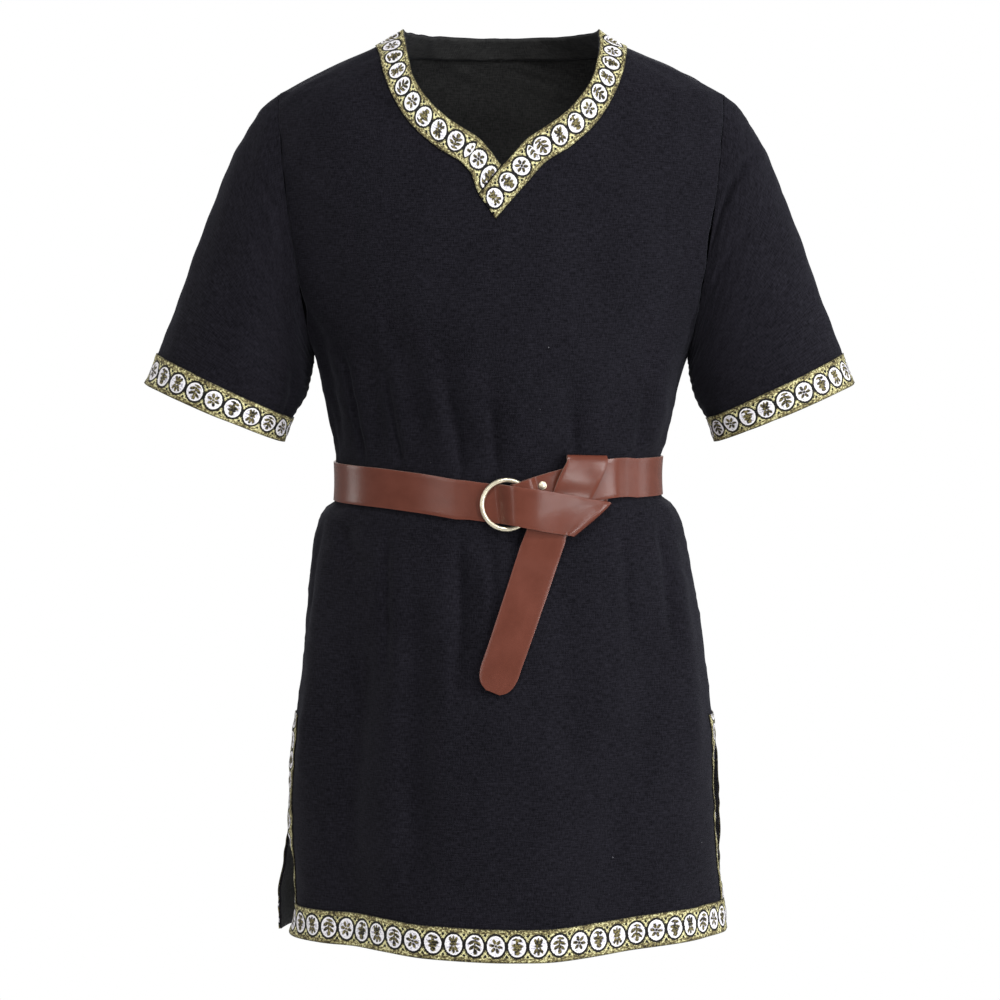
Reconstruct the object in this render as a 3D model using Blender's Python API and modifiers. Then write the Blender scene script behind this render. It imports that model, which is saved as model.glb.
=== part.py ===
"""Short-sleeved belted tunic, filled out as if worn, with a woven ribbon trim and a ring belt.

Metres, +Z up. The front faces -Y and +X is the wearer's left. The origin is the middle of the
line between the two neck points of the shoulder seams, where the wearer's shoulders carry it.
"""

import math

import bpy
import numpy as np
from mathutils.bvhtree import BVHTree

for leftover in list(bpy.data.objects):
    bpy.data.objects.remove(leftover, do_unlink=True)


# Driving dimensions

CLOTH = 0.0016                 # wall of the tunic cloth
RIBBON = 0.0011                # wall of the woven ribbon trim
RIBBON_WIDTH = 0.032
FACING = 0.0010                # wall of the back neck facing
FACING_DROP = -0.0205          # z of its level lower edge
SEAM_GAP = 0.0006              # between two pieces that are sewn edge to edge
LAID_GAP = 0.0005              # under a piece that lies on a panel
NECK_TRIM_GAP = 0.0009         # under the neck trim, which bends over the shoulders

SHOULDER_POINT = (0.2205, -0.0640)      # x, z of the top of the armhole
UNDERARM_POINT = (0.1860, -0.3220)      # x, z of the bottom of the armhole
ARMHOLE_DEPTH = 0.0550                  # the armhole's reach forward and back of the shoulder line
ARMHOLE_BOW = 0.0030                    # its bow outwards, at half height

SLIT_TOP = -0.6880             # z of the top of each side slit
SLIT_TRIM_TOP = -0.6790
SLIT_HALF_GAP = 0.0060         # half the opening of a slit at the hem
HEM_LEVEL = -0.8985

STRAP_WIDTH = 0.0380
STRAP = 0.0024                 # thickness of the belt leather
STRAP_GAP = 0.0008             # under the belt where it lies on the tunic
RING_WIRE = 0.0044
RING_OUTER = 0.0516
RIVET_DIAMETER = 0.0080
RIVET_HEIGHT = 0.0020
BELT_LEVEL = -0.4500


def table(columns, rows):
    """Columns of numbers by name, in rising order of the first column."""
    ordered = sorted(rows)
    return {name: np.array([row[i] for row in ordered]) for i, name in enumerate(columns)}


def read(source, along, value, at):
    """A value between the rows of a table, on a smooth curve that never overshoots them."""
    x, y = source[along], source[value]
    slope = np.diff(y) / np.diff(x)
    tangent = np.concatenate(([slope[0]], np.zeros(len(slope) - 1), [slope[-1]]))
    for i in range(1, len(slope)):
        if slope[i - 1] * slope[i] > 0.0:
            tangent[i] = 2.0 * slope[i - 1] * slope[i] / (slope[i - 1] + slope[i])
    at = min(max(at, x[0]), x[-1])
    i = min(int(np.searchsorted(x, at, side="right")) - 1, len(slope) - 1)
    span = x[i + 1] - x[i]
    t = (at - x[i]) / span
    return float(y[i] * (1 + 2 * t) * (1 - t) ** 2 + y[i + 1] * t * t * (3 - 2 * t)
                 + span * (tangent[i] * t * (1 - t) ** 2 - tangent[i + 1] * t * t * (1 - t)))


# The shoulder line, seen from the front: height and distance from the centre
SHOULDER = table(("z", "x"), (
    (0.0000, 0.0960), (-0.0075, 0.1070), (-0.0150, 0.1200), (-0.0240, 0.1400),
    (-0.0420, 0.1800), (-0.0640, 0.2205)))

# How far the body of the tunic stands out at the centre front and the centre back
DEPTHS = table(("z", "front", "back"), (
    (0.000, 0.0300, 0.0680), (-0.0075, 0.0400, 0.0730), (-0.015, 0.0475, 0.0770),
    (-0.024, 0.0550, 0.0810), (-0.042, 0.0670, 0.0880), (-0.064, 0.0790, 0.0940),
    (-0.100, 0.0920, 0.1020), (-0.140, 0.1020, 0.1080), (-0.190, 0.1120, 0.1130),
    (-0.250, 0.1210, 0.1165), (-0.300, 0.1255, 0.1165), (-0.350, 0.1250, 0.1130),
    (-0.385, 0.1170, 0.1080), (-0.412, 0.1105, 0.1025), (-0.430, 0.1093, 0.1004),
    (-0.450, 0.1090, 0.1000), (-0.470, 0.1090, 0.1006), (-0.478, 0.1092, 0.1025),
    (-0.492, 0.1098, 0.1068), (-0.507, 0.1130, 0.1100), (-0.530, 0.1190, 0.1140),
    (-0.560, 0.1250, 0.1170), (-0.590, 0.1295, 0.1200), (-0.650, 0.1355, 0.1240),
    (-0.710, 0.1400, 0.1270), (-0.800, 0.1450, 0.1310), (-0.910, 0.1480, 0.1350)))

# Half widths below the armholes, and how far the middle of each panel lies to the wearer's left
WIDTHS = table(("z", "front", "front_shift", "back", "back_shift"), (
    (-0.322, 0.1860, 0.0000, 0.1860, 0.0000), (-0.350, 0.1785, -0.0010, 0.1785, -0.0010),
    (-0.390, 0.1710, -0.0005, 0.1710, -0.0005), (-0.415, 0.1655, -0.0005, 0.1655, -0.0005),
    (-0.431, 0.1614, -0.0025, 0.1614, -0.0025), (-0.450, 0.1606, -0.0028, 0.1606, -0.0028),
    (-0.469, 0.1614, -0.0028, 0.1614, -0.0028), (-0.480, 0.1745, -0.0025, 0.1745, -0.0025),
    (-0.490, 0.1795, -0.0020, 0.1795, -0.0020),
    (-0.505, 0.1840, -0.0015, 0.1840, -0.0015), (-0.530, 0.1890, -0.0005, 0.1890, -0.0005),
    (-0.560, 0.1935, 0.0010, 0.1935, 0.0010), (-0.590, 0.1975, 0.0025, 0.1975, 0.0025),
    (-0.650, 0.2045, 0.0030, 0.2045, 0.0030), (-0.710, 0.2115, 0.0030, 0.2115, 0.0030),
    (-0.770, 0.2150, 0.0030, 0.2150, 0.0030), (-0.800, 0.2160, 0.0034, 0.2165, 0.0024),
    (-0.830, 0.2170, 0.0050, 0.2190, 0.0005), (-0.865, 0.2175, 0.0065, 0.2215, -0.0015),
    (-0.910, 0.2200, 0.0070, 0.2215, -0.0010)))

# Height of the belt's centre line round the waist, from the centre back past the wearer's right
BELT_LINE = table(("angle", "z"), (
    (-180.0, -0.4370), (-130.0, -0.4410), (-90.0, -0.4470), (-60.0, -0.4498),
    (-45.0, -0.4518), (-28.0, -0.4562), (-4.0, -0.4644), (10.0, -0.4610),
    (20.0, -0.4535), (40.0, -0.4435), (90.0, -0.4415), (180.0, -0.4370)))
BELT_PULL = table(("off", "share"), ((0.0, 1.0), (0.030, 1.0), (0.080, 0.45), (0.140, 0.0)))

# The hem's lower edge, by the angle round the body
HEM = table(("angle", "z"), (
    (-180.0, -0.8985), (-90.0, -0.8995), (-62.0, -0.8975), (-40.0, -0.8965), (-20.0, -0.9005),
    (6.0, -0.9030), (25.0, -0.8990), (45.0, -0.8940), (65.0, -0.8935), (90.0, -0.8960),
    (180.0, -0.8985)))


def armhole(z):
    """Distance out and reach forward of the armhole's edge at a height."""
    middle = (SHOULDER_POINT[1] + UNDERARM_POINT[1]) / 2
    half = (SHOULDER_POINT[1] - UNDERARM_POINT[1]) / 2
    rise = min(max((z - middle) / half, -1.0), 1.0)
    round_part = 1.0 - rise * rise
    out = ((SHOULDER_POINT[0] + UNDERARM_POINT[0]) / 2
           + rise * (SHOULDER_POINT[0] - UNDERARM_POINT[0]) / 2 + ARMHOLE_BOW * round_part)
    return out, ARMHOLE_DEPTH * math.sqrt(round_part)


def section(z, face):
    """Half width, depth and sideways shift of the body at a height, for the front or the back."""
    depth = read(DEPTHS, "z", face, z)
    if z >= SHOULDER_POINT[1]:
        return read(SHOULDER, "z", "x", z), depth, 0.0
    if z > UNDERARM_POINT[1]:
        out, reach = armhole(z)
        return out / math.sqrt(1.0 - (reach / depth) ** 2), depth, 0.0
    return read(WIDTHS, "z", face, z), depth, read(WIDTHS, "z", face + "_shift", z)


def belt_sag(turn, z):
    """How far the belt's slant draws the shape of the waist up or down."""
    pull = read(BELT_PULL, "off", "share", abs(z - BELT_LEVEL))
    return (read(BELT_LINE, "angle", "z", turn) - BELT_LEVEL) * pull


def body_point(angle, z):
    """A point of the unfolded body at an angle round it, 0 at the centre front, +90 at the left."""
    turn = (angle + 180.0) % 360.0 - 180.0
    level = z - belt_sag(turn, z)
    face, side = ("front", -1.0) if abs(turn) <= 90.0 else ("back", 1.0)
    half, depth, shift = section(level, face)
    return np.array((shift + half * math.sin(math.radians(turn)),
                     side * depth * abs(math.cos(math.radians(turn))), z))


TURN_STEP = 0.4                # degrees and metres between the points that give a direction
DROP_STEP = 0.0015


def body_normal(angle, z):
    """The outward direction of the unfolded body at a point."""
    across = body_point(angle + TURN_STEP, z) - body_point(angle - TURN_STEP, z)
    up = body_point(angle, min(z + DROP_STEP, 0.0)) - body_point(angle, z - DROP_STEP)
    normal = np.cross(across, up)
    return normal / np.linalg.norm(normal)


# Girth along the belt: the waist's half ellipses, measured from the centre front
WAIST_STEPS = 720


def waist_girth():
    angles = np.linspace(0.0, 180.0, WAIST_STEPS + 1)
    ring = np.array([body_point(a, BELT_LEVEL)[:2] for a in angles])
    lengths = np.hypot(*np.diff(ring, axis=0).T)
    return {"angle": angles, "girth": np.concatenate(([0.0], np.cumsum(lengths)))}


WAIST = waist_girth()


def waist_angle(girth):
    """The angle round the body of a point along the belt, + to the wearer's left."""
    return math.copysign(float(np.interp(abs(girth), WAIST["girth"], WAIST["angle"])), girth)


def over_waist(girth, z, height):
    """A point in front of the waist, placed by its girth along the belt."""
    angle = waist_angle(girth)
    base = body_point(angle, BELT_LEVEL)
    ahead = body_point(angle + TURN_STEP, BELT_LEVEL) - body_point(angle - TURN_STEP, BELT_LEVEL)
    out = np.array((ahead[1], -ahead[0], 0.0)) / math.hypot(ahead[0], ahead[1])
    flare = max(0.0, float(np.dot(body_point(angle, z) - base, out)))
    return np.array((base[0], base[1], z)) + out * (height + flare)


# Folds in the cloth: a soft trough where depth is positive, a soft ridge where it is negative.
# Angles are in degrees from the middle of the panel, + to the wearer's left.
FOLD_COLUMNS = ("face", "top_angle", "top_z", "low_angle", "low_z", "spread", "depth")
FOLDS = (
    ("front", -70.0, -0.285, -72.0, -0.425, 6.0, 0.0035),
    ("front", -42.0, -0.290, -46.0, -0.430, 5.0, 0.0030),
    ("front", -33.0, -0.270, -25.0, -0.440, 5.0, 0.0035),
    ("front", -19.0, -0.300, -11.0, -0.440, 5.0, 0.0030),
    ("front", -4.0, -0.310, -1.0, -0.440, 4.5, 0.0025),
    ("front", 21.0, -0.330, 26.0, -0.420, 5.0, 0.0025),
    ("front", 58.0, -0.300, 66.0, -0.425, 7.0, -0.0030),
    ("front", -62.0, -0.478, -46.0, -0.540, 6.0, 0.0040),
    ("front", -26.0, -0.495, -23.0, -0.880, 5.5, 0.0055),
    ("front", -43.0, -0.560, -49.0, -0.870, 6.0, 0.0035),
    ("front", -11.0, -0.500, -11.0, -0.680, 4.5, 0.0030),
    ("front", 19.0, -0.540, 17.0, -0.760, 5.5, 0.0025),
    ("front", 44.0, -0.520, 40.0, -0.800, 7.0, 0.0030),
    ("front", 66.0, -0.490, 60.0, -0.760, 7.0, -0.0035),
    ("front", -66.0, -0.500, -70.0, -0.780, 7.0, -0.0030),
    ("front", -90.0, -0.795, -90.0, -0.905, 9.0, 0.0075),
    ("front", 90.0, -0.690, 90.0, -0.880, 9.0, 0.0060),
    ("back", -58.0, -0.260, -62.0, -0.425, 6.0, 0.0035),
    ("back", -30.0, -0.200, -22.0, -0.430, 6.0, 0.0045),
    ("back", -9.0, -0.280, -6.0, -0.430, 5.0, 0.0030),
    ("back", 14.0, -0.230, 10.0, -0.430, 5.5, 0.0040),
    ("back", 36.0, -0.280, 31.0, -0.430, 5.5, 0.0035),
    ("back", 64.0, -0.290, 68.0, -0.425, 6.0, 0.0030),
    ("back", -50.0, -0.480, -54.0, -0.740, 6.5, 0.0040),
    ("back", -24.0, -0.480, -27.0, -0.880, 6.0, 0.0055),
    ("back", -3.0, -0.480, -5.0, -0.700, 5.0, 0.0035),
    ("back", 22.0, -0.480, 25.0, -0.870, 6.0, 0.0050),
    ("back", 51.0, -0.480, 49.0, -0.780, 6.5, 0.0035))
FOLD_FADE = 0.30               # share of a fold's length over which each end fades out


def ease(share):
    share = min(max(share, 0.0), 1.0)
    return share * share * (3.0 - 2.0 * share)


def fold_depth(face, angle, z):
    """How far the folds press the cloth in at a point of the front or the back panel."""
    depth = 0.0
    for row in FOLDS:
        fold = dict(zip(FOLD_COLUMNS, row))
        if fold["face"] != face:
            continue
        along = (fold["top_z"] - z) / (fold["top_z"] - fold["low_z"])
        if 0.0 < along < 1.0:
            middle = fold["top_angle"] + along * (fold["low_angle"] - fold["top_angle"])
            strength = ease(along / FOLD_FADE) * ease((1.0 - along) / FOLD_FADE)
            depth += fold["depth"] * strength * math.exp(-((angle - middle) / fold["spread"]) ** 2)
    return depth


def cloth_point(angle, z):
    """A point of the tunic's outer face, folds included."""
    turn = (angle + 180.0) % 360.0 - 180.0
    if abs(turn) <= 90.0:
        face, panel_angle = "front", turn
    else:
        face, panel_angle = "back", math.copysign(180.0 - abs(turn), turn)
    depth = fold_depth(face, panel_angle, z)
    point = body_point(angle, z)
    return point - body_normal(angle, z) * depth if depth else point


def over_skirt(girth, z, height):
    """A point in front of the skirt, below a point of the belt."""
    x = body_point(waist_angle(girth), BELT_LEVEL)[0]
    half, _, shift = section(z, "front")
    angle = math.degrees(math.asin((x - shift) / half))
    return cloth_point(angle, z) + body_normal(angle, z) * height


# Panels. A panel is a grid: its rows run from the neckline or the centre line out to the armhole
# or the side, and its columns run down. The two halves share the centre line below the neck.

NECK_SHIFT = 0.0020            # the neckline's middle lies this far to the wearer's left,
NECK_SHIFT_FULL = -0.0200      # in full from this height down
NECKLINE = table(("z", "half"), (
    (0.0000, 0.0962), (-0.0014, 0.0961), (-0.0215, 0.0942), (-0.0372, 0.0910), (-0.0564, 0.0855),
    (-0.0800, 0.0693), (-0.0950, 0.0533), (-0.1160, 0.0226), (-0.1420, 0.0000)))
ARMHOLE_TURNS = (0.0, 7.0, 22.0, 36.0, 50.0, 64.0, 78.0, 92.0, 106.0, 120.0, 134.0, 149.0, 164.0)
BACK_NECK_ANGLES = (90.0, 84.0, 70.0, 53.0, 36.0, 18.0, 0.0)
BACK_CENTRE = (-0.0100, FACING_DROP, -0.0400, -0.0750, -0.1300, -0.2150)
COLUMNS = 12                   # from the centre to the strip that the slit trim covers
TRIM_COLUMNS = 2
LEVELS = (-0.350, -0.382, -0.408, -0.431, -0.4437, -0.4563, -0.469, -0.482, -0.500, -0.528,
          -0.565, -0.610, -0.650, SLIT_TRIM_TOP, -0.715, -0.755, -0.795, -0.835)
HEM_ROWS = 2
RESAMPLING = 48


def side_angle(face, z):
    """Where a panel ends at the side: at the seam, or at the open edge of the slit."""
    opening = ease((SLIT_TOP - z) / (SLIT_TOP - HEM_LEVEL)) * SLIT_HALF_GAP + SEAM_GAP / 2
    depth = section(z, face)[1]
    return 90.0 - math.degrees(math.asin(opening / depth))


def panel_turn(face, side, angle):
    """The angle round the body of a point given by its angle from the panel's middle."""
    return side * angle if face == "front" else 180.0 - side * angle


def hem_rise(turn, z):
    """How far the uneven hem lifts the rows above it."""
    share = ease((SLIT_TOP - z) / (SLIT_TOP - HEM_LEVEL - RIBBON_WIDTH))
    return (read(HEM, "angle", "z", turn) - HEM_LEVEL) * share


def inner_end(face, side, i):
    """Angle and height of the inner end of one of the rows that meet the armhole."""
    if face == "back":
        if i < len(BACK_NECK_ANGLES):
            return BACK_NECK_ANGLES[i], 0.0
        return 0.0, BACK_CENTRE[i - len(BACK_NECK_ANGLES)]
    last = len(NECKLINE["z"]) - 1
    if i < last:
        z = NECKLINE["z"][last - i]
        x = abs(side * NECKLINE["half"][last - i] + NECK_SHIFT * ease(z / NECK_SHIFT_FULL))
        return math.degrees(math.asin(min(x / section(z, face)[0], 1.0))), z
    start = NECKLINE["z"][0]
    share = (i - last) / (len(ARMHOLE_TURNS) - last)
    return 0.0, start + share * (UNDERARM_POINT[1] - start)


def outer_end(face, i):
    """Angle and height of the armhole's end of a row."""
    turn = math.radians(ARMHOLE_TURNS[i])
    middle = (SHOULDER_POINT[1] + UNDERARM_POINT[1]) / 2
    z = middle + math.cos(turn) * (SHOULDER_POINT[1] - UNDERARM_POINT[1]) / 2
    out, _ = armhole(z)
    half = section(z, face)[0]
    return math.degrees(math.asin(min(out / half, 1.0))), z


def panel_row(face, side, inner, outer, below_arm):
    """Points of one half row, the last columns always as wide as the slit trim.

    Rows below the armhole follow the slant of the belt and of the hem.
    """
    points = []
    for k in range(RESAMPLING + 1):
        share = k / RESAMPLING
        turn = panel_turn(face, side, inner[0] + share * (outer[0] - inner[0]))
        z = inner[1] + share * (outer[1] - inner[1])
        if below_arm:
            turn = (turn + 180.0) % 360.0 - 180.0
            z += hem_rise(turn, z) + belt_sag(turn, z)
        points.append(cloth_point(turn, z))
    points = np.array(points)
    length = np.concatenate(([0.0], np.cumsum(np.linalg.norm(np.diff(points, axis=0), axis=1))))
    trim_start = length[-1] - RIBBON_WIDTH
    places = np.concatenate((np.linspace(0.0, trim_start, COLUMNS + 1),
                             np.linspace(trim_start, length[-1], TRIM_COLUMNS + 1)[1:]))
    return np.stack([np.interp(places, length, points[:, axis]) for axis in range(3)], axis=1)


def panel_half(face, side):
    """The grid of one half of the front or the back."""
    rows = [panel_row(face, side, inner_end(face, side, i), outer_end(face, i), False)
            for i in range(len(ARMHOLE_TURNS))]
    rows[0][:, 1] += SEAM_GAP / 2 * (-1.0 if face == "front" else 1.0)
    trim_top = HEM_LEVEL + RIBBON_WIDTH
    hem_levels = [trim_top - RIBBON_WIDTH * k / HEM_ROWS for k in range(HEM_ROWS + 1)]
    for z in [UNDERARM_POINT[1], *LEVELS, *hem_levels]:
        end = (side_angle(face, z), z)
        rows.append(panel_row(face, side, (0.0, z), end, True))
    return np.array(rows)


def whole_panel(face):
    """Points and faces of a panel, with its two halves joined below the neckline."""
    halves = {side: panel_half(face, side) for side in (-1, 1)}
    neck_rows = len(NECKLINE["z"] if face == "front" else BACK_NECK_ANGLES) - 1
    points, index = [], {}
    for side, grid in halves.items():
        for i, row in enumerate(grid):
            for j, point in enumerate(row):
                if j == 0 and i >= neck_rows and side == 1:
                    index[side, i, j] = index[-1, i, j]
                    continue
                index[side, i, j] = len(points)
                points.append(point)
    faces = []
    for side, grid in halves.items():
        for i in range(grid.shape[0] - 1):
            for j in range(grid.shape[1] - 1):
                corners = [index[side, i, j], index[side, i + 1, j],
                           index[side, i + 1, j + 1], index[side, i, j + 1]]
                flip = (side == 1) == (face == "back")
                faces.append(corners[::-1] if flip else corners)
    return np.array(points), faces, halves


# Making of the objects

def material(name, colour, roughness, metallic=0.0):
    made = bpy.data.materials.new(name)
    made.use_nodes = True
    shader = made.node_tree.nodes["Principled BSDF"]
    shader.inputs["Base Color"].default_value = (*colour, 1.0)
    shader.inputs["Roughness"].default_value = roughness
    shader.inputs["Metallic"].default_value = metallic
    return made


def shell(name, points, faces, wall, offset, finish):
    """An open surface given a wall: inwards of it for offset -1, outwards for +1."""
    mesh = bpy.data.meshes.new(name)
    mesh.from_pydata([tuple(point) for point in points], [], faces)
    mesh.materials.append(finish)
    mesh.shade_smooth()
    item = bpy.data.objects.new(name, mesh)
    PARTS.objects.link(item)
    solid = item.modifiers.new("wall", "SOLIDIFY")
    solid.thickness = wall
    solid.offset = offset
    solid.use_even_offset = True
    return item


def grid_faces(rows, columns, closed=False, flip=False):
    """Four-sided faces of a grid, closed round its columns for a tube."""
    faces = []
    for i in range(rows - 1):
        for j in range(columns if closed else columns - 1):
            k = (j + 1) % columns
            corners = [i * columns + j, (i + 1) * columns + j, (i + 1) * columns + k, i * columns + k]
            faces.append(corners[::-1] if flip else corners)
    return faces


def grid_normals(grid, closed=False):
    """Outward directions at the points of a grid whose rows run down and columns to the left."""
    down = np.gradient(grid, axis=0)
    if closed:
        across = (np.roll(grid, -1, axis=1) - np.roll(grid, 1, axis=1)) / 2
    else:
        across = np.gradient(grid, axis=1)
    normal = np.cross(down, across)
    return normal / np.linalg.norm(normal, axis=2, keepdims=True)


def laid_piece(name, grid, wall, finish, closed=False, lift=LAID_GAP):
    """A strip of ribbon that lies on cloth, made from the cloth's own points moved out."""
    lifted = grid + grid_normals(grid, closed) * lift
    rows, columns = grid.shape[:2]
    return shell(name, lifted.reshape(-1, 3), grid_faces(rows, columns, closed), wall, 1.0, finish)


# Sleeves: rings from the armhole to the cuff, by the ends of their long axes and their half depth
SLEEVE_COLUMNS = ("top_x", "top_z", "under_x", "under_z", "half_depth")
SLEEVE_RINGS = (
    (0.2205, -0.0640, 0.1860, -0.3220, 0.0550), (0.2340, -0.0745, 0.1868, -0.3275, 0.0575),
    (0.2480, -0.0930, 0.1876, -0.3330, 0.0595), (0.2625, -0.1180, 0.1884, -0.3390, 0.0610),
    (0.2780, -0.1535, 0.1898, -0.3470, 0.0620), (0.2960, -0.1990, 0.1922, -0.3560, 0.0620),
    (0.3130, -0.2440, 0.1955, -0.3660, 0.0615), (0.3280, -0.2850, 0.2005, -0.3760, 0.0605),
    (0.3415, -0.3205, 0.2065, -0.3850, 0.0595), (0.3480, -0.3355, 0.2122, -0.3962, 0.0588),
    (0.3540, -0.3505, 0.2175, -0.4078, 0.0580))
SLEEVE_SIDES = 24
CUFF_DIP = 0.0010              # how far the front of the cuff hangs below its back
CUFF_RINGS = 2                 # the last spaces between rings, which the cuff trim covers
SLEEVE_GAP = 0.0012
SLEEVE_HANG = {-1: 0.0, 1: -0.0030}     # how much nearer to the body each cuff hangs


def sleeve_grid(side):
    """Rings of one sleeve, each starting at its top; side is -1 for the wearer's right."""
    rings = []
    last = len(SLEEVE_RINGS) - 1
    for k, values in enumerate(SLEEVE_RINGS):
        ring = dict(zip(SLEEVE_COLUMNS, values))
        top = np.array((ring["top_x"], 0.0, ring["top_z"]))
        under = np.array((ring["under_x"], 0.0, ring["under_z"]))
        middle, half = (top + under) / 2, (top - under) / 2
        along = np.array((-half[2], 0.0, half[0])) / np.linalg.norm(half)
        if along[2] > 0.0:
            along = -along
        bow = ARMHOLE_BOW * (1.0 - k / last)
        dip = CUFF_DIP * (k / last) ** 2
        points = []
        for j in range(SLEEVE_SIDES):
            turn = 2.0 * math.pi * j / SLEEVE_SIDES
            front = -side * math.sin(turn)
            point = middle + half * math.cos(turn)
            point = point + np.array((bow * math.sin(turn) ** 2, -ring["half_depth"] * front, 0.0))
            point = point + along * (dip * front)
            point[0] += SLEEVE_HANG[side] * k / last
            if k == 0:
                point = point + np.array((SLEEVE_GAP, 0.0, 0.0))
            points.append((side * point[0], point[1], point[2]))
        rings.append(points)
    return np.array(rings)


# Trim of the neckline, front: inner and outer edge, as half widths and heights
NECK_STRIP = (
    (0.0961, -0.0014, 0.1237, -0.0180), (0.0955, -0.0100, 0.1228, -0.0225),
    (0.0942, -0.0215, 0.1205, -0.0300), (0.0910, -0.0372, 0.1160, -0.0500),
    (0.0855, -0.0564, 0.1050, -0.0765), (0.0693, -0.0800, 0.0873, -0.1028),
    (0.0533, -0.0950, 0.0648, -0.1232), (0.0380, -0.1055, 0.0510, -0.1320),
    (0.0226, -0.1160, 0.0404, -0.1390), (0.0110, -0.1289, 0.0310, -0.1490))
V_POINT = (0.0010, -0.1420)
V_OVER_CORNER = (-0.0211, -0.1701)     # the two corners of the over strip's square end
V_OVER_TIP = (-0.0048, -0.1933)
V_OVER_OUTER = (0.0228, -0.1610)       # the over strip's outer edge, across from the V's point
STRIP_COLUMNS = 4
STRIP_REFINE = 2
BACK_STATIONS = 12
EDGE_STEP = 0.0002             # how finely the lower edge on the back is looked for


def on_cloth(grid):
    """The grid's points set down on the panels' own outer faces."""
    return np.array([[tuple(PANEL_FACES["front" if point[1] < 0.0 else "back"].find_nearest(point)[0])
                      for point in row] for row in grid])


def front_point(x, z):
    """The cloth's outer face at a place seen from the front."""
    half, _, shift = section(z, "front")
    return cloth_point(math.degrees(math.asin(min(max((x - shift) / half, -1.0), 1.0))), z)


def below_neck(turn):
    """Height of the trim's lower edge on the back, one ribbon's width from the neckline."""
    edge = body_point(turn, 0.0)
    z = 0.0
    while np.linalg.norm(body_point(turn, z) - edge) < RIBBON_WIDTH:
        z -= EDGE_STEP
    return z


def neck_strip(side):
    """Rows of one neck strip from the centre back to the V, each from its left to its right."""
    rows = []
    for k in range(BACK_STATIONS + 1):
        turn = 180.0 - 90.0 * k / BACK_STATIONS
        if k == 0:
            turn -= math.degrees(SEAM_GAP / 2 / body_point(90.0, 0.0)[0])
        rows.append([cloth_point(side * turn, below_neck(turn) * c / (STRIP_COLUMNS - 1))
                     for c in range(STRIP_COLUMNS)])
    pairs = []
    for inner, inner_z, outer, outer_z in NECK_STRIP:
        shift = NECK_SHIFT * ease(inner_z / NECK_SHIFT_FULL)
        pairs.append((shift + side * inner, inner_z, shift + side * outer, outer_z))
    if side == 1:
        pairs.append((*V_POINT, *V_OVER_OUTER))
        pairs.append((*V_OVER_CORNER, *V_OVER_TIP))
    else:
        run = np.array(V_POINT) - np.array(V_OVER_CORNER)
        back_off = np.array((-run[1], run[0])) / np.linalg.norm(run) * (LAID_GAP + SEAM_GAP)
        pairs.append((*(np.array(V_POINT) + back_off), *(np.array(V_OVER_CORNER) + back_off)))
    smooth = []
    for first, second in zip(pairs[:-1], pairs[1:]):
        smooth += [np.array(first) + (np.array(second) - np.array(first)) * t / STRIP_REFINE
                   for t in range(STRIP_REFINE)]
    smooth.append(np.array(pairs[-1]))
    for xa, za, xb, zb in smooth:
        rows.append([front_point(xa + (xb - xa) * c / (STRIP_COLUMNS - 1),
                                 za + (zb - za) * c / (STRIP_COLUMNS - 1))
                     for c in range(STRIP_COLUMNS)])
    grid = np.array(rows)
    return grid if side == 1 else grid[:, ::-1]


FACING_STATIONS = 20
FACING_ROWS = 3
FACING_START = 93.0            # angle of its first end, just behind the shoulder seam


def facing_grid():
    """The back neck facing's outer face, before it is moved inside the back."""
    rows = []
    for r in range(FACING_ROWS):
        z = FACING_DROP * r / (FACING_ROWS - 1)
        rows.append([body_point(FACING_START + (360.0 - 2 * FACING_START) * k / FACING_STATIONS, z)
                     for k in range(FACING_STATIONS + 1)])
    return on_cloth(rows)


# Belt. Rows of the strap, in order from its riveted end, round the waist and back to its tail:
# girth from the centre front, height, distance out from the waist, lean of the row, its length.
HITCH_COLUMNS = ("girth", "z", "out", "lean", "length")
RING_GIRTH = 0.0078
RING_LEVEL = -0.4666
RING_OUT = 0.0054
RIVET_PLACE = (0.0415, -0.4482)
RIVET_SEAT = 0.0049            # the attached end's outer layer stands this far out
RIVET_PROFILE = (0.0, 30.0, 60.0, 90.0)
RIVET_SIDES = 16
RING_SEGMENTS = 36
WIRE_SEGMENTS = 8
MERGE = 0.00001
ATTACHED_END = (
    (0.0560, -0.4536, 0.0017, 106.0, 0.0380), (0.0400, -0.4583, 0.0017, 106.0, 0.0380),
    (0.0290, -0.4616, 0.0017, 103.0, 0.0375), (0.0198, -0.4643, 0.0017, 101.0, 0.0370),
    (0.0169, -0.4651, 0.0029, 101.0, 0.0370), (0.0157, -0.4654, 0.0058, 101.0, 0.0370),
    (0.0169, -0.4651, 0.0088, 101.0, 0.0370), (0.0198, -0.4643, 0.0100, 101.0, 0.0370),
    (0.0315, -0.4608, 0.0104, 103.0, 0.0375), (0.0350, -0.4598, 0.0088, 105.0, 0.0380),
    (0.0376, -0.4590, 0.0060, 105.0, 0.0380), (0.0398, -0.4584, 0.0049, 105.0, 0.0380),
    (0.0500, -0.4553, 0.0049, 105.0, 0.0380), (0.0614, -0.4520, 0.0049, 105.0, 0.0380),
    (0.0770, -0.4482, 0.0049, 103.0, 0.0380), (0.0930, -0.4448, 0.0050, 101.0, 0.0380),
    (0.1060, -0.4429, 0.0051, 98.0, 0.0380), (0.1160, -0.4420, 0.0049, 94.0, 0.0380),
    (0.1250, -0.4417, 0.0035, 91.0, 0.0380), (0.1340, -0.4417, 0.0022, 90.0, 0.0380))
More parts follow.
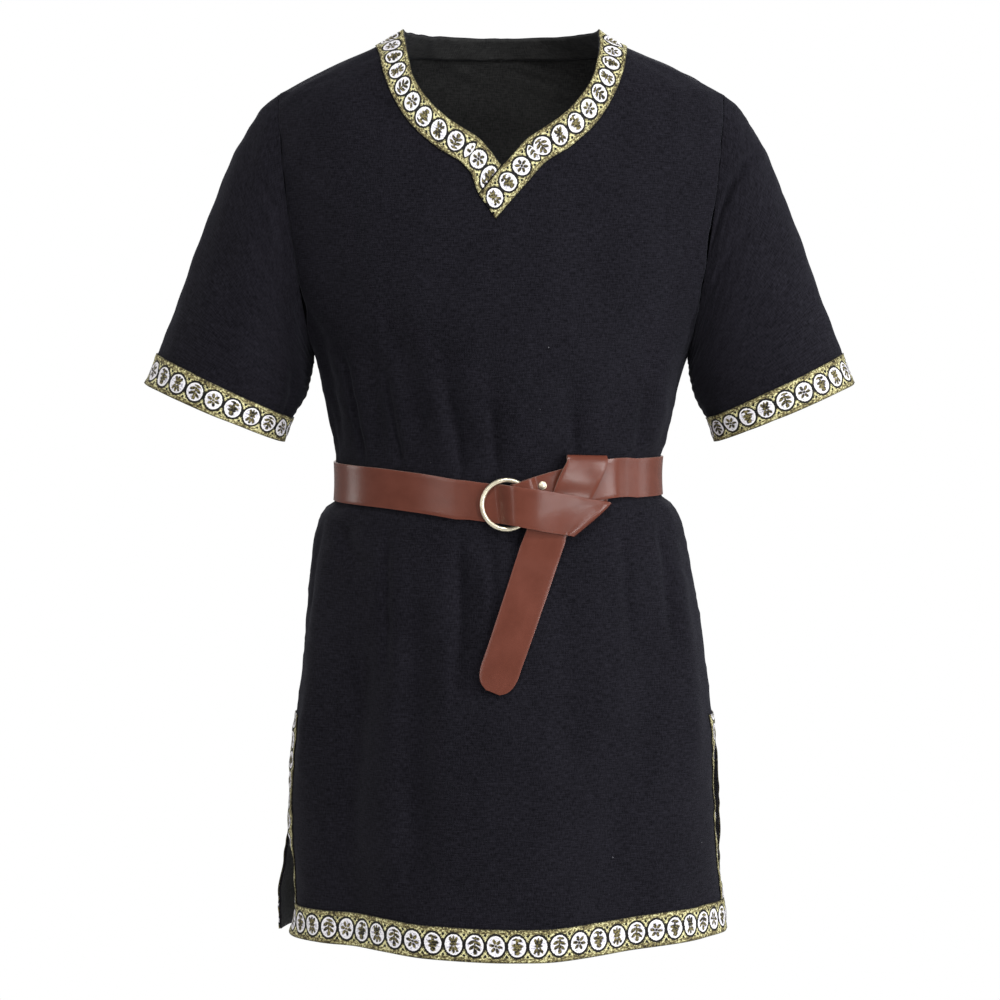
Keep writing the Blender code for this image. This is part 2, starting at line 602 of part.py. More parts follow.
FRONT_WRAP = (
    (-0.0300, -0.4623, 0.0017, 97.0, 0.0380), (-0.0150, -0.4643, 0.0017, 97.0, 0.0380),
    (-0.0045, -0.4656, 0.0017, 96.0, 0.0380), (-0.0010, -0.4658, 0.0020, 96.0, 0.0380),
    (0.0020, -0.4661, 0.0036, 95.0, 0.0380), (0.0045, -0.4663, 0.0058, 95.0, 0.0380),
    (0.0070, -0.4666, 0.0082, 94.0, 0.0380), (0.0098, -0.4670, 0.0105, 93.0, 0.0380),
    (0.0130, -0.4675, 0.0122, 92.0, 0.0380), (0.0165, -0.4681, 0.0131, 91.0, 0.0380),
    (0.0210, -0.4689, 0.0134, 90.0, 0.0382), (0.0290, -0.4703, 0.0134, 88.0, 0.0384),
    (0.0360, -0.4715, 0.0130, 86.0, 0.0386), (0.0458, -0.4734, 0.0119, 84.0, 0.0390),
    (0.0550, -0.4750, 0.0112, 79.0, 0.0388), (0.0625, -0.4763, 0.0110, 73.0, 0.0388),
    (0.0690, -0.4776, 0.0109, 64.0, 0.0400), (0.0748, -0.4787, 0.0108, 55.0, 0.0410),
    (0.0836, -0.4806, 0.0108, 38.6, 0.0500), (0.0877, -0.4811, 0.0095, 38.6, 0.0500),
    (0.0901, -0.4808, 0.0061, 38.6, 0.0480), (0.0904, -0.4790, 0.0028, 38.6, 0.0450),
    (0.0919, -0.4726, 0.0017, 33.0, 0.0460), (0.0929, -0.4660, 0.0017, 24.0, 0.0420),
    (0.0925, -0.4590, 0.0017, 12.0, 0.0393), (0.0912, -0.4490, 0.0017, 2.0, 0.0383),
    (0.0895, -0.4390, 0.0017, -2.0, 0.0390), (0.0878, -0.4310, 0.0017, -2.0, 0.0400),
    (0.0862, -0.4240, 0.0018, -1.5, 0.0405), (0.0858, -0.4216, 0.0028, -1.5, 0.0405),
    (0.0853, -0.4206, 0.0052, -1.5, 0.0405), (0.0848, -0.4216, 0.0076, -1.5, 0.0405),
    (0.0838, -0.4245, 0.0086, -2.0, 0.0405), (0.0795, -0.4350, 0.0086, -4.0, 0.0405),
    (0.0752, -0.4450, 0.0083, -6.0, 0.0400), (0.0708, -0.4570, 0.0080, -7.0, 0.0385),
    (0.0665, -0.4670, 0.0079, -8.0, 0.0365), (0.0600, -0.4840, 0.0077, -12.0, 0.0345),
    (0.0481, -0.4910, 0.0075, -14.0, 0.0365), (0.0454, -0.4990, 0.0068, -17.0, 0.0395))
TAIL = (
    (0.0419, -0.5090, 0.0045, -18.0, 0.0395), (0.0381, -0.5200, 0.0027, -19.0, 0.0394),
    (0.0339, -0.5320, 0.0022, -19.0, 0.0392), (0.0275, -0.5505, 0.0020, -19.0, 0.0388),
    (0.0198, -0.5726, 0.0020, -19.0, 0.0382), (0.0122, -0.5946, 0.0020, -19.0, 0.0376),
    (0.0045, -0.6167, 0.0020, -19.0, 0.0371), (0.0010, -0.6270, 0.0020, -19.0, 0.0369),
    (-0.0018, -0.6350, 0.0020, -20.0, 0.0335), (-0.0040, -0.6410, 0.0020, -21.0, 0.0260),
    (-0.0052, -0.6450, 0.0020, -22.0, 0.0140))
STRAP_COLUMNS = 4
WAIST_ROWS = 50
WAIST_START = 0.1450           # girth at which the plain run round the waist begins
WAIST_END = -0.0400


def strap_row(values, place):
    """Points across the strap at one row of a table, from its lower to its upper edge."""
    row = dict(zip(HITCH_COLUMNS, values))
    lean = math.radians(row["lean"])
    points = []
    for c in range(STRAP_COLUMNS):
        off = (c / (STRAP_COLUMNS - 1) - 0.5) * row["length"]
        points.append(place(row["girth"] + off * math.cos(lean), row["z"] + off * math.sin(lean),
                            row["out"]))
    return points


def waist_row(angle):
    """Points across the strap where it lies flat round the waist, from its lower edge up."""
    turn = (angle + 180.0) % 360.0 - 180.0
    level = read(BELT_LINE, "angle", "z", turn)
    return [body_point(turn, level + (c / (STRAP_COLUMNS - 1) - 0.5) * STRAP_WIDTH)
            + body_normal(turn, level) * (STRAP_GAP + STRAP / 2) for c in range(STRAP_COLUMNS)]


def strap_grid():
    start, end = waist_angle(WAIST_START), 360.0 + waist_angle(WAIST_END)
    rows = [strap_row(values, over_waist) for values in ATTACHED_END]
    rows += [waist_row(start + (end - start) * k / WAIST_ROWS) for k in range(WAIST_ROWS + 1)]
    rows += [strap_row(values, over_waist) for values in FRONT_WRAP]
    rows += [strap_row(values, over_skirt) for values in TAIL]
    return np.array(rows)


def finish_object(item, name, finish):
    """Names a primitive, gives it its material and moves it to the part's collection."""
    item.name = item.data.name = name
    item.data.materials.clear()
    item.data.materials.append(finish)
    item.data.shade_smooth()
    for owner in list(item.users_collection):
        owner.objects.unlink(item)
    PARTS.objects.link(item)


def seat_on_waist(item, girth, z, height):
    """Places a turned piece with its axis square to the waist."""
    place = over_waist(girth, z, height)
    out = over_waist(girth, z, height + STRAP) - place
    item.location = place
    item.rotation_euler = (math.pi / 2, 0.0, math.atan2(out[0], -out[1]))


def belt_ring(finish):
    bpy.ops.mesh.primitive_torus_add(
        major_radius=(RING_OUTER - RING_WIRE) / 2, minor_radius=RING_WIRE / 2,
        major_segments=RING_SEGMENTS, minor_segments=WIRE_SEGMENTS)
    ring = bpy.context.object
    seat_on_waist(ring, RING_GIRTH, RING_LEVEL, RING_OUT)
    finish_object(ring, "belt_ring", finish)


def belt_rivet(finish):
    """A domed cap turned about its post, seated on the strap."""
    profile = [(math.sin(turn) * RIVET_DIAMETER / 2, 0.0, math.cos(turn) * RIVET_HEIGHT)
               for turn in np.radians(RIVET_PROFILE)]
    profile.append((0.0, 0.0, 0.0))
    mesh = bpy.data.meshes.new("belt_rivet")
    mesh.from_pydata(profile, [(i, i + 1) for i in range(len(profile) - 1)], [])
    cap = bpy.data.objects.new("belt_rivet", mesh)
    PARTS.objects.link(cap)
    screw = cap.modifiers.new("turned", "SCREW")
    screw.steps = screw.render_steps = RIVET_SIDES
    screw.use_merge_vertices = True
    screw.merge_threshold = MERGE
    seat_on_waist(cap, *RIVET_PLACE, RIVET_SEAT + STRAP / 2 + LAID_GAP)
    mesh.materials.append(finish)


# Assembly

PARTS = bpy.data.collections.new("belted_tunic")
bpy.context.scene.collection.children.link(PARTS)

black_cloth = material("black_cloth", (0.014, 0.013, 0.018), 0.9)
woven_ribbon = material("woven_ribbon", (0.30, 0.27, 0.12), 0.6)
brown_leather = material("brown_leather", (0.17, 0.055, 0.040), 0.4)
pale_brass = material("pale_brass", (0.75, 0.65, 0.42), 0.25, 1.0)

SIDE_NAMES = {-1: "right", 1: "left"}
hem_rows = slice(-1 - HEM_ROWS, None)
slit_first_row = len(ARMHOLE_TURNS) + 1 + LEVELS.index(SLIT_TRIM_TOP)

PANEL_FACES = {}
for face in ("front", "back"):
    panel_points, panel_faces, halves = whole_panel(face)
    shell(face, panel_points, panel_faces, CLOTH, -1.0, black_cloth)
    PANEL_FACES[face] = BVHTree.FromPolygons([tuple(point) for point in panel_points], panel_faces)
    left_side, right_side = (-1, 1) if face == "front" else (1, -1)
    hem_half = {side: halves[side][hem_rows] for side in (-1, 1)}
    hem_band = np.concatenate((hem_half[left_side][:, ::-1], hem_half[right_side][:, 1:]), axis=1)
    laid_piece("hem_trim_" + face, hem_band, RIBBON, woven_ribbon)
    for side in (-1, 1):
        strip = halves[side][slit_first_row:-1 - HEM_ROWS, -1 - TRIM_COLUMNS:]
        strip = np.concatenate((strip, halves[side][-1 - HEM_ROWS][None, -1 - TRIM_COLUMNS:]))
        strip[-1, :, 2] += SEAM_GAP
        if side == left_side:
            strip = strip[:, ::-1]
        laid_piece(f"slit_trim_{face}_{SIDE_NAMES[side]}", strip, RIBBON, woven_ribbon)

facing = facing_grid()
shell("back_neck_facing", (facing - grid_normals(facing) * (CLOTH + 2 * LAID_GAP)).reshape(-1, 3),
      grid_faces(*facing.shape[:2]), FACING, -1.0, black_cloth)

for side, layer in ((-1, "under"), (1, "over")):
    laid_piece("neck_trim_" + layer, neck_strip(side), RIBBON, woven_ribbon, lift=NECK_TRIM_GAP)
    sleeve = sleeve_grid(side)
    shell("sleeve_" + SIDE_NAMES[side], sleeve.reshape(-1, 3),
          grid_faces(*sleeve.shape[:2], closed=True), CLOTH, -1.0, black_cloth)
    laid_piece("cuff_trim_" + SIDE_NAMES[side], sleeve[-1 - CUFF_RINGS:], RIBBON, woven_ribbon,
               closed=True)

strap = strap_grid()
shell("belt_strap", strap.reshape(-1, 3), grid_faces(*strap.shape[:2]), STRAP, 0.0, brown_leather)
belt_ring(pale_brass)
belt_rivet(pale_brass)
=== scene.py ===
import math

import bpy
import numpy as np
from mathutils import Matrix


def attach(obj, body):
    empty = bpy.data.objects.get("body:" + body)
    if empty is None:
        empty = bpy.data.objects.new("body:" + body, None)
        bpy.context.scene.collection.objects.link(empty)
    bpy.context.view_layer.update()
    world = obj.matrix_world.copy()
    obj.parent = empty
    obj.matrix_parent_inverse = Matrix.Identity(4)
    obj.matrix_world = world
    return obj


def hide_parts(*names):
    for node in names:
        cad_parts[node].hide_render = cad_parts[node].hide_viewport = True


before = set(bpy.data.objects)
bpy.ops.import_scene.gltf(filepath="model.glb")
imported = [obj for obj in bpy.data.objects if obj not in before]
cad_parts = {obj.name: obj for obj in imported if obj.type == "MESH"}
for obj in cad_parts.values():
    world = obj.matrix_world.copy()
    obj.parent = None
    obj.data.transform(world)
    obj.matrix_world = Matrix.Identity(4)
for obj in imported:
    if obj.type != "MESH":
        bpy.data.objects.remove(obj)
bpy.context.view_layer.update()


# The stand: the filled-out tunic hangs free over a pale floor. The camera stands at waist height
# in front of it. Large soft lamps beside, above and behind it leave an even light with a soft
# sheen, and a small low lamp puts a glint on the belt's knot.

PHOTO_PIXELS = 1000.0
FOCAL_PIXELS = 2804.0
SENSOR = 36.0
CAMERA_PLACE = (-0.001, -2.800, -0.350)
CAMERA_TILT = 0.04170              # radians below level
FLOOR_LEVEL = -1.500
FLOOR_REACH = 1.3
FLOOR_DARK = (0.84, 0.84, 0.83, 1.0)
FLOOR_PALE = (0.90, 0.90, 0.89, 1.0)
FLOOR_GRAIN = 9.0                  # flecks a metre
# each lamp: place, the point it looks at, width, height, power, colour
LAMPS = (
    ((-1.30, -2.50, 0.20), (0.0, 0.0, -0.40), 0.5, 1.8, 13.0, (1.0, 0.98, 0.96)),
    ((1.65, -2.10, 0.15), (0.0, 0.0, -0.40), 0.25, 1.9, 19.0, (0.97, 0.98, 1.0)),
    ((2.45, -1.25, 0.10), (0.0, 0.0, -0.45), 0.4, 1.6, 36.0, (0.97, 0.98, 1.0)),
    ((0.40, -1.50, 1.50), (0.05, 0.0, -0.45), 1.2, 0.5, 30.0, (1.0, 1.0, 1.0)),
    ((2.20, 0.35, -0.20), (0.3, 0.0, -0.45), 0.5, 1.6, 7.0, (0.96, 0.97, 1.0)),
    ((-2.20, 0.40, 0.10), (-0.3, 0.0, -0.45), 0.5, 1.6, 12.0, (1.0, 0.98, 0.96)),
    ((1.50, -1.90, -0.95), (0.08, -0.1, -0.45), 0.30, 0.30, 9.0, (1.0, 1.0, 1.0)),
    ((0.0, 2.40, 0.80), (0.0, 0.0, -0.40), 1.8, 1.4, 30.0, (1.0, 1.0, 1.0)))
SWEEP_LIGHT = 0.28                 # share of the white sweep's glow that falls on the tunic
WHITE = (1.0, 1.0, 1.0, 1.0)


def placed(name, data):
    """An object that holds the data, put into the scene."""
    made = bpy.data.objects.new(name, data)
    bpy.context.scene.collection.objects.link(made)
    return made


class Field:
    """A value or a colour that varies over a surface; plain sums with it make Math nodes."""

    def __init__(self, socket):
        self.socket, self.tree = socket, socket.id_data

    def __add__(self, other):
        return calc("ADD", self, other)

    def __sub__(self, other):
        return calc("SUBTRACT", self, other)

    def __rsub__(self, other):
        return calc("SUBTRACT", other, self)

    def __mul__(self, other):
        return calc("MULTIPLY", self, other)

    def __truediv__(self, other):
        return calc("DIVIDE", self, other)

    def __abs__(self):
        return calc("ABSOLUTE", self)


def put(socket, value):
    """Links a field to a socket, or sets the socket's own value."""
    if isinstance(value, Field):
        value.tree.links.new(value.socket, socket)
    else:
        socket.default_value = value


def calc(operation, *operands):
    """The value of a Math node; each operand is a number or a field."""
    tree = next(one.tree for one in operands if isinstance(one, Field))
    made = tree.nodes.new("ShaderNodeMath")
    made.operation = operation
    for place, operand in enumerate(operands):
        put(made.inputs[place], operand)
    return Field(made.outputs[0])


def node(tree, kind, output, **settings):
    """One output of a new shader node; a setting with a socket's name goes to that socket."""
    made = tree.nodes.new("ShaderNode" + kind)
    for name, value in settings.items():
        socket = made.inputs.get(name.replace("_", " "))
        if socket is None:
            setattr(made, name, value)
        else:
            put(socket, value)
    return Field(made.outputs[output])


def ramp(value, *stops):
    """A colour for each value of a field, from (value, colour) stops."""
    made = node(value.tree, "ValToRGB", "Color", Fac=value)
    elements = made.socket.node.color_ramp.elements
    while len(elements) < len(stops):
        elements.new(0.5)
    for element, (place, colour) in zip(elements, stops):
        element.position = place
        element.color = colour
    return made


def dress(shader, **values):
    """Sets a shader's sockets, or links fields to them."""
    for name, value in values.items():
        put(shader.inputs[name.replace("_", " ")], value)


def finish(name, **values):
    """A new finish and its shader, with the values that are the same all over it."""
    made = bpy.data.materials.new(name)
    made.use_nodes = True
    shader = made.node_tree.nodes["Principled BSDF"]
    dress(shader, **values)
    return made, made.node_tree, shader


camera = placed("stand_camera", bpy.data.cameras.new("stand_camera"))
camera.data.sensor_width = SENSOR
camera.data.lens = SENSOR * FOCAL_PIXELS / PHOTO_PIXELS
camera.location = CAMERA_PLACE
camera.rotation_euler = (math.pi / 2 - CAMERA_TILT, 0.0, 0.0)
bpy.context.scene.camera = camera
bpy.context.scene.view_settings.view_transform = "Standard"

for number, (place, target, width, height, power, colour) in enumerate(LAMPS):
    lamp = bpy.data.lights.new(f"lamp_{number}", "AREA")
    lamp.shape = "RECTANGLE"
    lamp.size, lamp.size_y = width, height
    lamp.energy, lamp.color = power, colour
    holder = placed(f"lamp_{number}", lamp)
    holder.location = place
    aim = np.array(target) - np.array(place)
    holder.rotation_euler = (math.acos(-aim[2] / np.linalg.norm(aim)), 0.0,
                             math.atan2(aim[1], aim[0]) - math.pi / 2)

sweep = bpy.data.worlds.new("white_sweep")
sweep.use_nodes = True
straight = node(sweep.node_tree, "LightPath", "Is Camera Ray")
glow = node(sweep.node_tree, "MapRange", "Result", Value=straight, To_Min=SWEEP_LIGHT)
dress(sweep.node_tree.nodes["Background"], Color=WHITE, Strength=glow)
bpy.context.scene.world = sweep

floor_finish, tree, shader = finish("pale_floor", Roughness=0.85)
grain = node(tree, "TexNoise", "Fac", Scale=FLOOR_GRAIN, Detail=4.0)
dress(shader, Base_Color=ramp(grain, (0.0, FLOOR_DARK), (1.0, FLOOR_PALE)))
floor_mesh = bpy.data.meshes.new("floor")
floor_mesh.from_pydata([(x * FLOOR_REACH, y * FLOOR_REACH, FLOOR_LEVEL)
                        for x, y in ((-1, -1), (1, -1), (1, 1), (-1, 1))], [], [(0, 1, 2, 3)])
floor_mesh.materials.append(floor_finish)
placed("floor", floor_mesh)


# Black cloth of the tunic: a plain weave of slubby linen-like yarn, matt, with a faint blue-grey
# sheen where it turns away and a few pale specks of lint. The yarns lie along the cut's UV.

YARN = 0.00085                     # metres from one yarn to the next
SLUB_WIDTH = YARN * 1.35
SLUB_LENGTH = 0.0048
WEFT_SLUB_LENGTH = SLUB_LENGTH * 1.7
BLOOM_STEPS = (0.045, 0.070)
SLUB_SHARE = 0.52                  # how much the slubs and the bloom change the yarn's tone
BLOOM_SHARE = 0.12
DARK_TONE = 0.45
PALE_TONE = 0.76
WEAVE_RELIEF = 0.35
CLOTH_RELIEF = 0.00030
LINT_SPACING = 0.034
LINT_SIZE = 0.020                  # share of the spacing
CLOTH_DARK = (0.0028, 0.0025, 0.0042, 1.0)
CLOTH_PALE = (0.0150, 0.0141, 0.0198, 1.0)
CLOTH_SHEEN = (0.80, 0.82, 1.0, 1.0)
LINT_COLOUR = (0.10, 0.10, 0.11, 1.0)


def cut_place(tree):
    """The place on the flat cut in metres: how far along it and how far across."""
    uv = node(tree, "UVMap", "UV", uv_map="cut")
    return [node(tree, "SeparateXYZ", axis, Vector=uv) for axis in "XY"]


def at_scale(place, steps):
    """A texture vector that runs one unit for each step along and across the cut."""
    along, across = place
    return node(along.tree, "CombineXYZ", "Vector", X=along / steps[0], Y=across / steps[1])


def noise(place, steps, detail, **settings):
    """Noise over the cut, in flecks of about one step each way."""
    return node(place[0].tree, "TexNoise", "Fac", Scale=1.0, Detail=detail,
                Vector=at_scale(place, steps), **settings)


def blend(share, first, second):
    """A colour between two colours or colour fields."""
    made = share.tree.nodes.new("ShaderNodeMix")
    made.data_type = "RGBA"
    for place, value in ((0, share), (6, first), (7, second)):
        put(made.inputs[place], value)
    return Field(made.outputs[2])


def bump(relief, strength, distance):
    return node(relief.tree, "Bump", "Normal", Strength=strength, Distance=distance, Height=relief)


def plain_weave(place, yarn):
    """Height of a plain weave: warp over weft and weft over warp by turns."""
    warp, weft = [calc("SINE", way * (math.pi / yarn)) for way in place]
    return warp * weft


def black_weave(name, dark, pale, lint):
    """A finish of one dark yarn; lint is the share of the lint's specks that show."""
    made, tree, shader = finish(name, Roughness=0.88, Specular_IOR_Level=0.08, Sheen_Weight=0.05,
                                Sheen_Roughness=0.45, Sheen_Tint=CLOTH_SHEEN)
    place = cut_place(tree)
    slub = (noise(place, (SLUB_WIDTH, SLUB_LENGTH), 3.0)
            + noise(place, (WEFT_SLUB_LENGTH, SLUB_WIDTH), 3.0))
    tone = slub * SLUB_SHARE + noise(place, BLOOM_STEPS, 2.0) * BLOOM_SHARE
    lint_place = at_scale(place, (LINT_SPACING, LINT_SPACING))
    far, chance = [node(tree, "TexVoronoi", output, Scale=1.0, Randomness=1.0, Vector=lint_place)
                   for output in ("Distance", "Color")]
    speck = (calc("LESS_THAN", far, LINT_SIZE)
             * calc("LESS_THAN", node(tree, "SeparateXYZ", "X", Vector=chance), lint))
    yarn_colour = ramp(tone, (DARK_TONE, dark), (PALE_TONE, pale))
    relief = plain_weave(place, YARN) * WEAVE_RELIEF + slub
    dress(shader, Base_Color=blend(speck, yarn_colour, LINT_COLOUR),
          Normal=bump(relief, 0.75, CLOTH_RELIEF))
    return made


black_cloth = black_weave("black_cloth", CLOTH_DARK, CLOTH_PALE, 0.40)


# Front and back of the tunic: two panels cut from the black cloth, wide and straight, each as
# wide as half the hem. They are sewn together at the shoulders and the sides, open below at the
# slits, and the belt draws them in to soft upright folds. The form is a half oval at each height.

CLOTH = 0.0014                     # wall of the cloth
RIBBON_WIDTH = 0.0320
SEAM_GAP = 0.0006
SHOULDER_POINT = (0.2205, -0.0640)
UNDERARM_POINT = (0.1860, -0.3220)
ARMHOLE_MIDDLE = [(top + low) / 2 for top, low in zip(SHOULDER_POINT, UNDERARM_POINT)]
ARMHOLE_HALF = [(top - low) / 2 for top, low in zip(SHOULDER_POINT, UNDERARM_POINT)]
ARMHOLE_DEPTH = 0.0550
ARMHOLE_BOW = 0.0030
SLIT_TOP = -0.6880
SLIT_TRIM_TOP = -0.6790
SLIT_HALF_GAP = 0.0060
HEM_LEVEL = -0.8985
BELT_LEVEL = -0.4500
NECK_SHIFT = 0.0020
NECK_SHIFT_FULL = -0.0200


def table(columns, rows):
    """Columns by name in rising order of the first, each with the slopes of its smooth curve."""
    values = np.array(sorted(rows))
    made = {"along": values[:, 0]}
    for place, name in enumerate(columns[1:], 1):
        slope = np.diff(values[:, place]) / np.diff(values[:, 0])
        before, after = slope[:-1], slope[1:]
        same = before * after > 0.0
        inner = np.where(same, 2.0 * before * after / np.where(same, before + after, 1.0), 0.0)
        made[name] = (values[:, place], np.concatenate(([slope[0]], inner, [slope[-1]])))
    return made


def read(source, name, at):
    """Values between the rows of a table, on a smooth curve that never overshoots them."""
    x, (y, tangent) = source["along"], source[name]
    at = np.clip(at, x[0], x[-1])
    i = np.clip(np.searchsorted(x, at, side="right") - 1, 0, len(x) - 2)
    span = x[i + 1] - x[i]
    t = (at - x[i]) / span
    return (y[i] * (1 + 2 * t) * (1 - t) ** 2 + y[i + 1] * t * t * (3 - 2 * t)
            + span * (tangent[i] * t * (1 - t) ** 2 - tangent[i + 1] * t * t * (1 - t)))


SHOULDER = table(("z", "x"), (
    (0.0, 0.096), (-0.0075, 0.107), (-0.015, 0.12), (-0.024, 0.14), (-0.042, 0.18),
    (-0.064, 0.2205)))
DEPTHS = table(("z", "front", "back"), (
    (0.0, 0.03, 0.068), (-0.0075, 0.04, 0.073), (-0.015, 0.0475, 0.077), (-0.024, 0.055, 0.081),
    (-0.042, 0.067, 0.088), (-0.064, 0.079, 0.094), (-0.1, 0.092, 0.102), (-0.14, 0.102, 0.108),
    (-0.19, 0.112, 0.113), (-0.25, 0.121, 0.1165), (-0.3, 0.1255, 0.1165), (-0.35, 0.125, 0.113),
    (-0.385, 0.117, 0.108), (-0.412, 0.1105, 0.1025), (-0.43, 0.1093, 0.1004), (-0.45, 0.109, 0.1),
    (-0.47, 0.109, 0.1006), (-0.478, 0.1092, 0.1025), (-0.492, 0.1098, 0.1068),
    (-0.507, 0.113, 0.11), (-0.53, 0.119, 0.114), (-0.56, 0.125, 0.117), (-0.59, 0.1295, 0.12),
    (-0.65, 0.1355, 0.124), (-0.71, 0.14, 0.127), (-0.8, 0.145, 0.131), (-0.91, 0.148, 0.135)))
WIDTHS = table(("z", "front", "front_shift", "back", "back_shift"), (
    *[(z, half, shift, half, shift) for z, half, shift in (
        (-0.322, 0.186, 0.0), (-0.35, 0.1785, -0.001), (-0.39, 0.171, -0.0005),
        (-0.415, 0.1655, -0.0005), (-0.431, 0.1614, -0.0025), (-0.45, 0.1606, -0.0028),
        (-0.469, 0.1614, -0.0028), (-0.48, 0.1745, -0.0025), (-0.49, 0.1795, -0.002),
        (-0.505, 0.184, -0.0015), (-0.53, 0.189, -0.0005), (-0.56, 0.1935, 0.001),
        (-0.59, 0.1975, 0.0025), (-0.65, 0.2045, 0.003), (-0.71, 0.2115, 0.003),
        (-0.77, 0.215, 0.003))],
    (-0.800, 0.2160, 0.0034, 0.2165, 0.0024), (-0.830, 0.2170, 0.0050, 0.2190, 0.0005),
    (-0.865, 0.2175, 0.0065, 0.2215, -0.0015), (-0.910, 0.2200, 0.0070, 0.2215, -0.0010)))
BELT_LINE = table(("angle", "z"), (
    (-180.0, -0.437), (-130.0, -0.441), (-90.0, -0.447), (-60.0, -0.4498), (-45.0, -0.4518),
    (-28.0, -0.4562), (-4.0, -0.4644), (10.0, -0.461), (20.0, -0.4535), (40.0, -0.4435),
    (90.0, -0.4415), (180.0, -0.437)))
BELT_PULL = table(("off", "share"), ((0.0, 1.0), (0.030, 1.0), (0.080, 0.45), (0.140, 0.0)))
HEM = table(("angle", "z"), (
    (-180.0, -0.8985), (-90.0, -0.8995), (-62.0, -0.8975), (-40.0, -0.8965), (-20.0, -0.9005),
    (6.0, -0.903), (25.0, -0.899), (45.0, -0.894), (65.0, -0.8935), (90.0, -0.896),
    (180.0, -0.8985)))
NECKLINE = table(("z", "half"), (
    (0.0, 0.0962), (-0.0014, 0.0961), (-0.0215, 0.0942), (-0.0372, 0.091), (-0.0564, 0.0855),
    (-0.08, 0.0693), (-0.095, 0.0533), (-0.116, 0.0226), (-0.142, 0.0)))

# Folds: angle and height of the top and of the low end, spread in degrees, depth; lengths are in
# millimetres. A trough has a positive depth and a ridge a negative one; angles count to the
# wearer's left.
MM = 0.001
FOLDS = {
    "front": (
        (-70, -285, -72, -425, 6, 3.5), (-42, -290, -46, -430, 5, 3),
        (-33, -270, -25, -440, 5, 3.5), (-19, -300, -11, -440, 5, 3),
        (-4, -310, -1, -440, 4.5, 2.5), (21, -330, 26, -420, 5, 2.5), (58, -300, 66, -425, 7, -3),
        (-62, -478, -46, -540, 6, 4), (-26, -495, -23, -880, 5.5, 5.5),
        (-43, -560, -49, -870, 6, 3.5), (-11, -500, -11, -680, 4.5, 3),
        (19, -540, 17, -760, 5.5, 2.5), (44, -520, 40, -800, 7, 3), (66, -490, 60, -760, 7, -3.5),
        (-47, -500, -47, -1100, 13, 8), (30, -600, 30, -1100, 12, 6),
        (-66, -500, -70, -780, 7, -3), (-90, -795, -90, -905, 9, 7.5), (90, -690, 90, -880, 9, 6),
        (-57, -300, -54, -446, 1.9, 2.6), (-39, -320, -36, -452, 1.8, 2.6),
        (-18, -340, -12, -456, 1.7, 2.4), (-3, -360, -1, -456, 1.7, 2),
        (24, -370, 27, -440, 1.9, 1.8), (52, -350, 56, -430, 2.4, 1.8),
        (-78, -360, -80, -430, 3, 1.4), (-37, -470, -35, -660, 2, 2.6),
        (-12, -480, -13, -660, 1.8, 2.6), (-3, -485, -1, -640, 1.8, 2),
        (41, -470, 38, -620, 2.2, 2), (60, -470, 55, -620, 2.4, 2.2),
        (-76, -475, -78, -600, 3, 1.3), (74, -120, 62, -235, 5, 2.2),
        (-76, -230, -63, -330, 5, 1.6)),
    "back": (
        (-58, -260, -62, -425, 6, 3.5), (-30, -200, -22, -430, 6, 4.5),
        (-9, -280, -6, -430, 5, 3), (14, -230, 10, -430, 5.5, 4), (36, -280, 31, -430, 5.5, 3.5),
        (64, -290, 68, -425, 6, 3), (-50, -480, -54, -740, 6.5, 4),
        (-24, -480, -27, -880, 6, 5.5), (-3, -480, -5, -700, 5, 3.5), (22, -480, 25, -870, 6, 5),
        (51, -480, 49, -780, 6.5, 3.5), (-40, -360, -38, -428, 2.6, 1.3),
        (-15, -350, -14, -428, 2.2, 1.2), (3, -360, 2, -428, 2.2, 1.1),
        (24, -350, 22, -428, 2.4, 1.3), (50, -360, 52, -428, 2.8, 1.2),
        (-66, -470, -67, -590, 3, 1.3), (-36, -468, -38, -610, 2.6, 1.4),
        (-13, -466, -14, -600, 2.4, 1.2), (10, -466, 11, -620, 2.4, 1.3),
        (37, -468, 38, -600, 2.8, 1.3), (70, -470, 72, -590, 3, 1.2),
        (-72, -130, -60, -240, 5, 2), (74, -140, 62, -250, 5, 2))}
FOLD_FADE = 0.30
FOLD_STRENGTH = 1.55
# slight unevenness of the cloth: length of each wave, its lean in degrees and its start
RIPPLES = ((0.110, 31.0, 0.3), (0.061, -17.0, 1.9), (0.037, 53.0, 4.0), (0.023, -71.0, 2.2))
RIPPLE_DEPTH = 0.00035
GIRTH_RADIUS = 0.16                # of the body, about, for the ripples
TURN_STEP = 0.4                    # degrees and metres to each side, to find the cloth's direction
RISE_STEP = 0.0015


def ease(share):
    """A soft rise from 0 to 1."""
    share = np.clip(share, 0.0, 1.0)
    return share * share * (3.0 - 2.0 * share)


def armhole(z):
    """Distance out and reach forward of the armhole's edge at a height."""
    rise = np.clip((z - ARMHOLE_MIDDLE[1]) / ARMHOLE_HALF[1], -1.0, 1.0)
    out = ARMHOLE_MIDDLE[0] + rise * ARMHOLE_HALF[0] + ARMHOLE_BOW * (1.0 - rise ** 2)
    return out, ARMHOLE_DEPTH * np.sqrt(1.0 - rise ** 2)


def section(z, face):
    """Half width, depth and sideways shift of the body at a height."""
    depth = read(DEPTHS, face, z)
    out, reach = armhole(z)
    half = np.where(z >= SHOULDER_POINT[1], read(SHOULDER, "x", z),
                    np.where(z > UNDERARM_POINT[1], out / np.sqrt(1.0 - (reach / depth) ** 2),
                             read(WIDTHS, face, z)))
    shift = np.where(z > UNDERARM_POINT[1], 0.0, read(WIDTHS, face + "_shift", z))
    return half, depth, shift


def wrap(angle):
    """The same angle between -180 and 180 degrees."""
    return (angle + 180.0) % 360.0 - 180.0


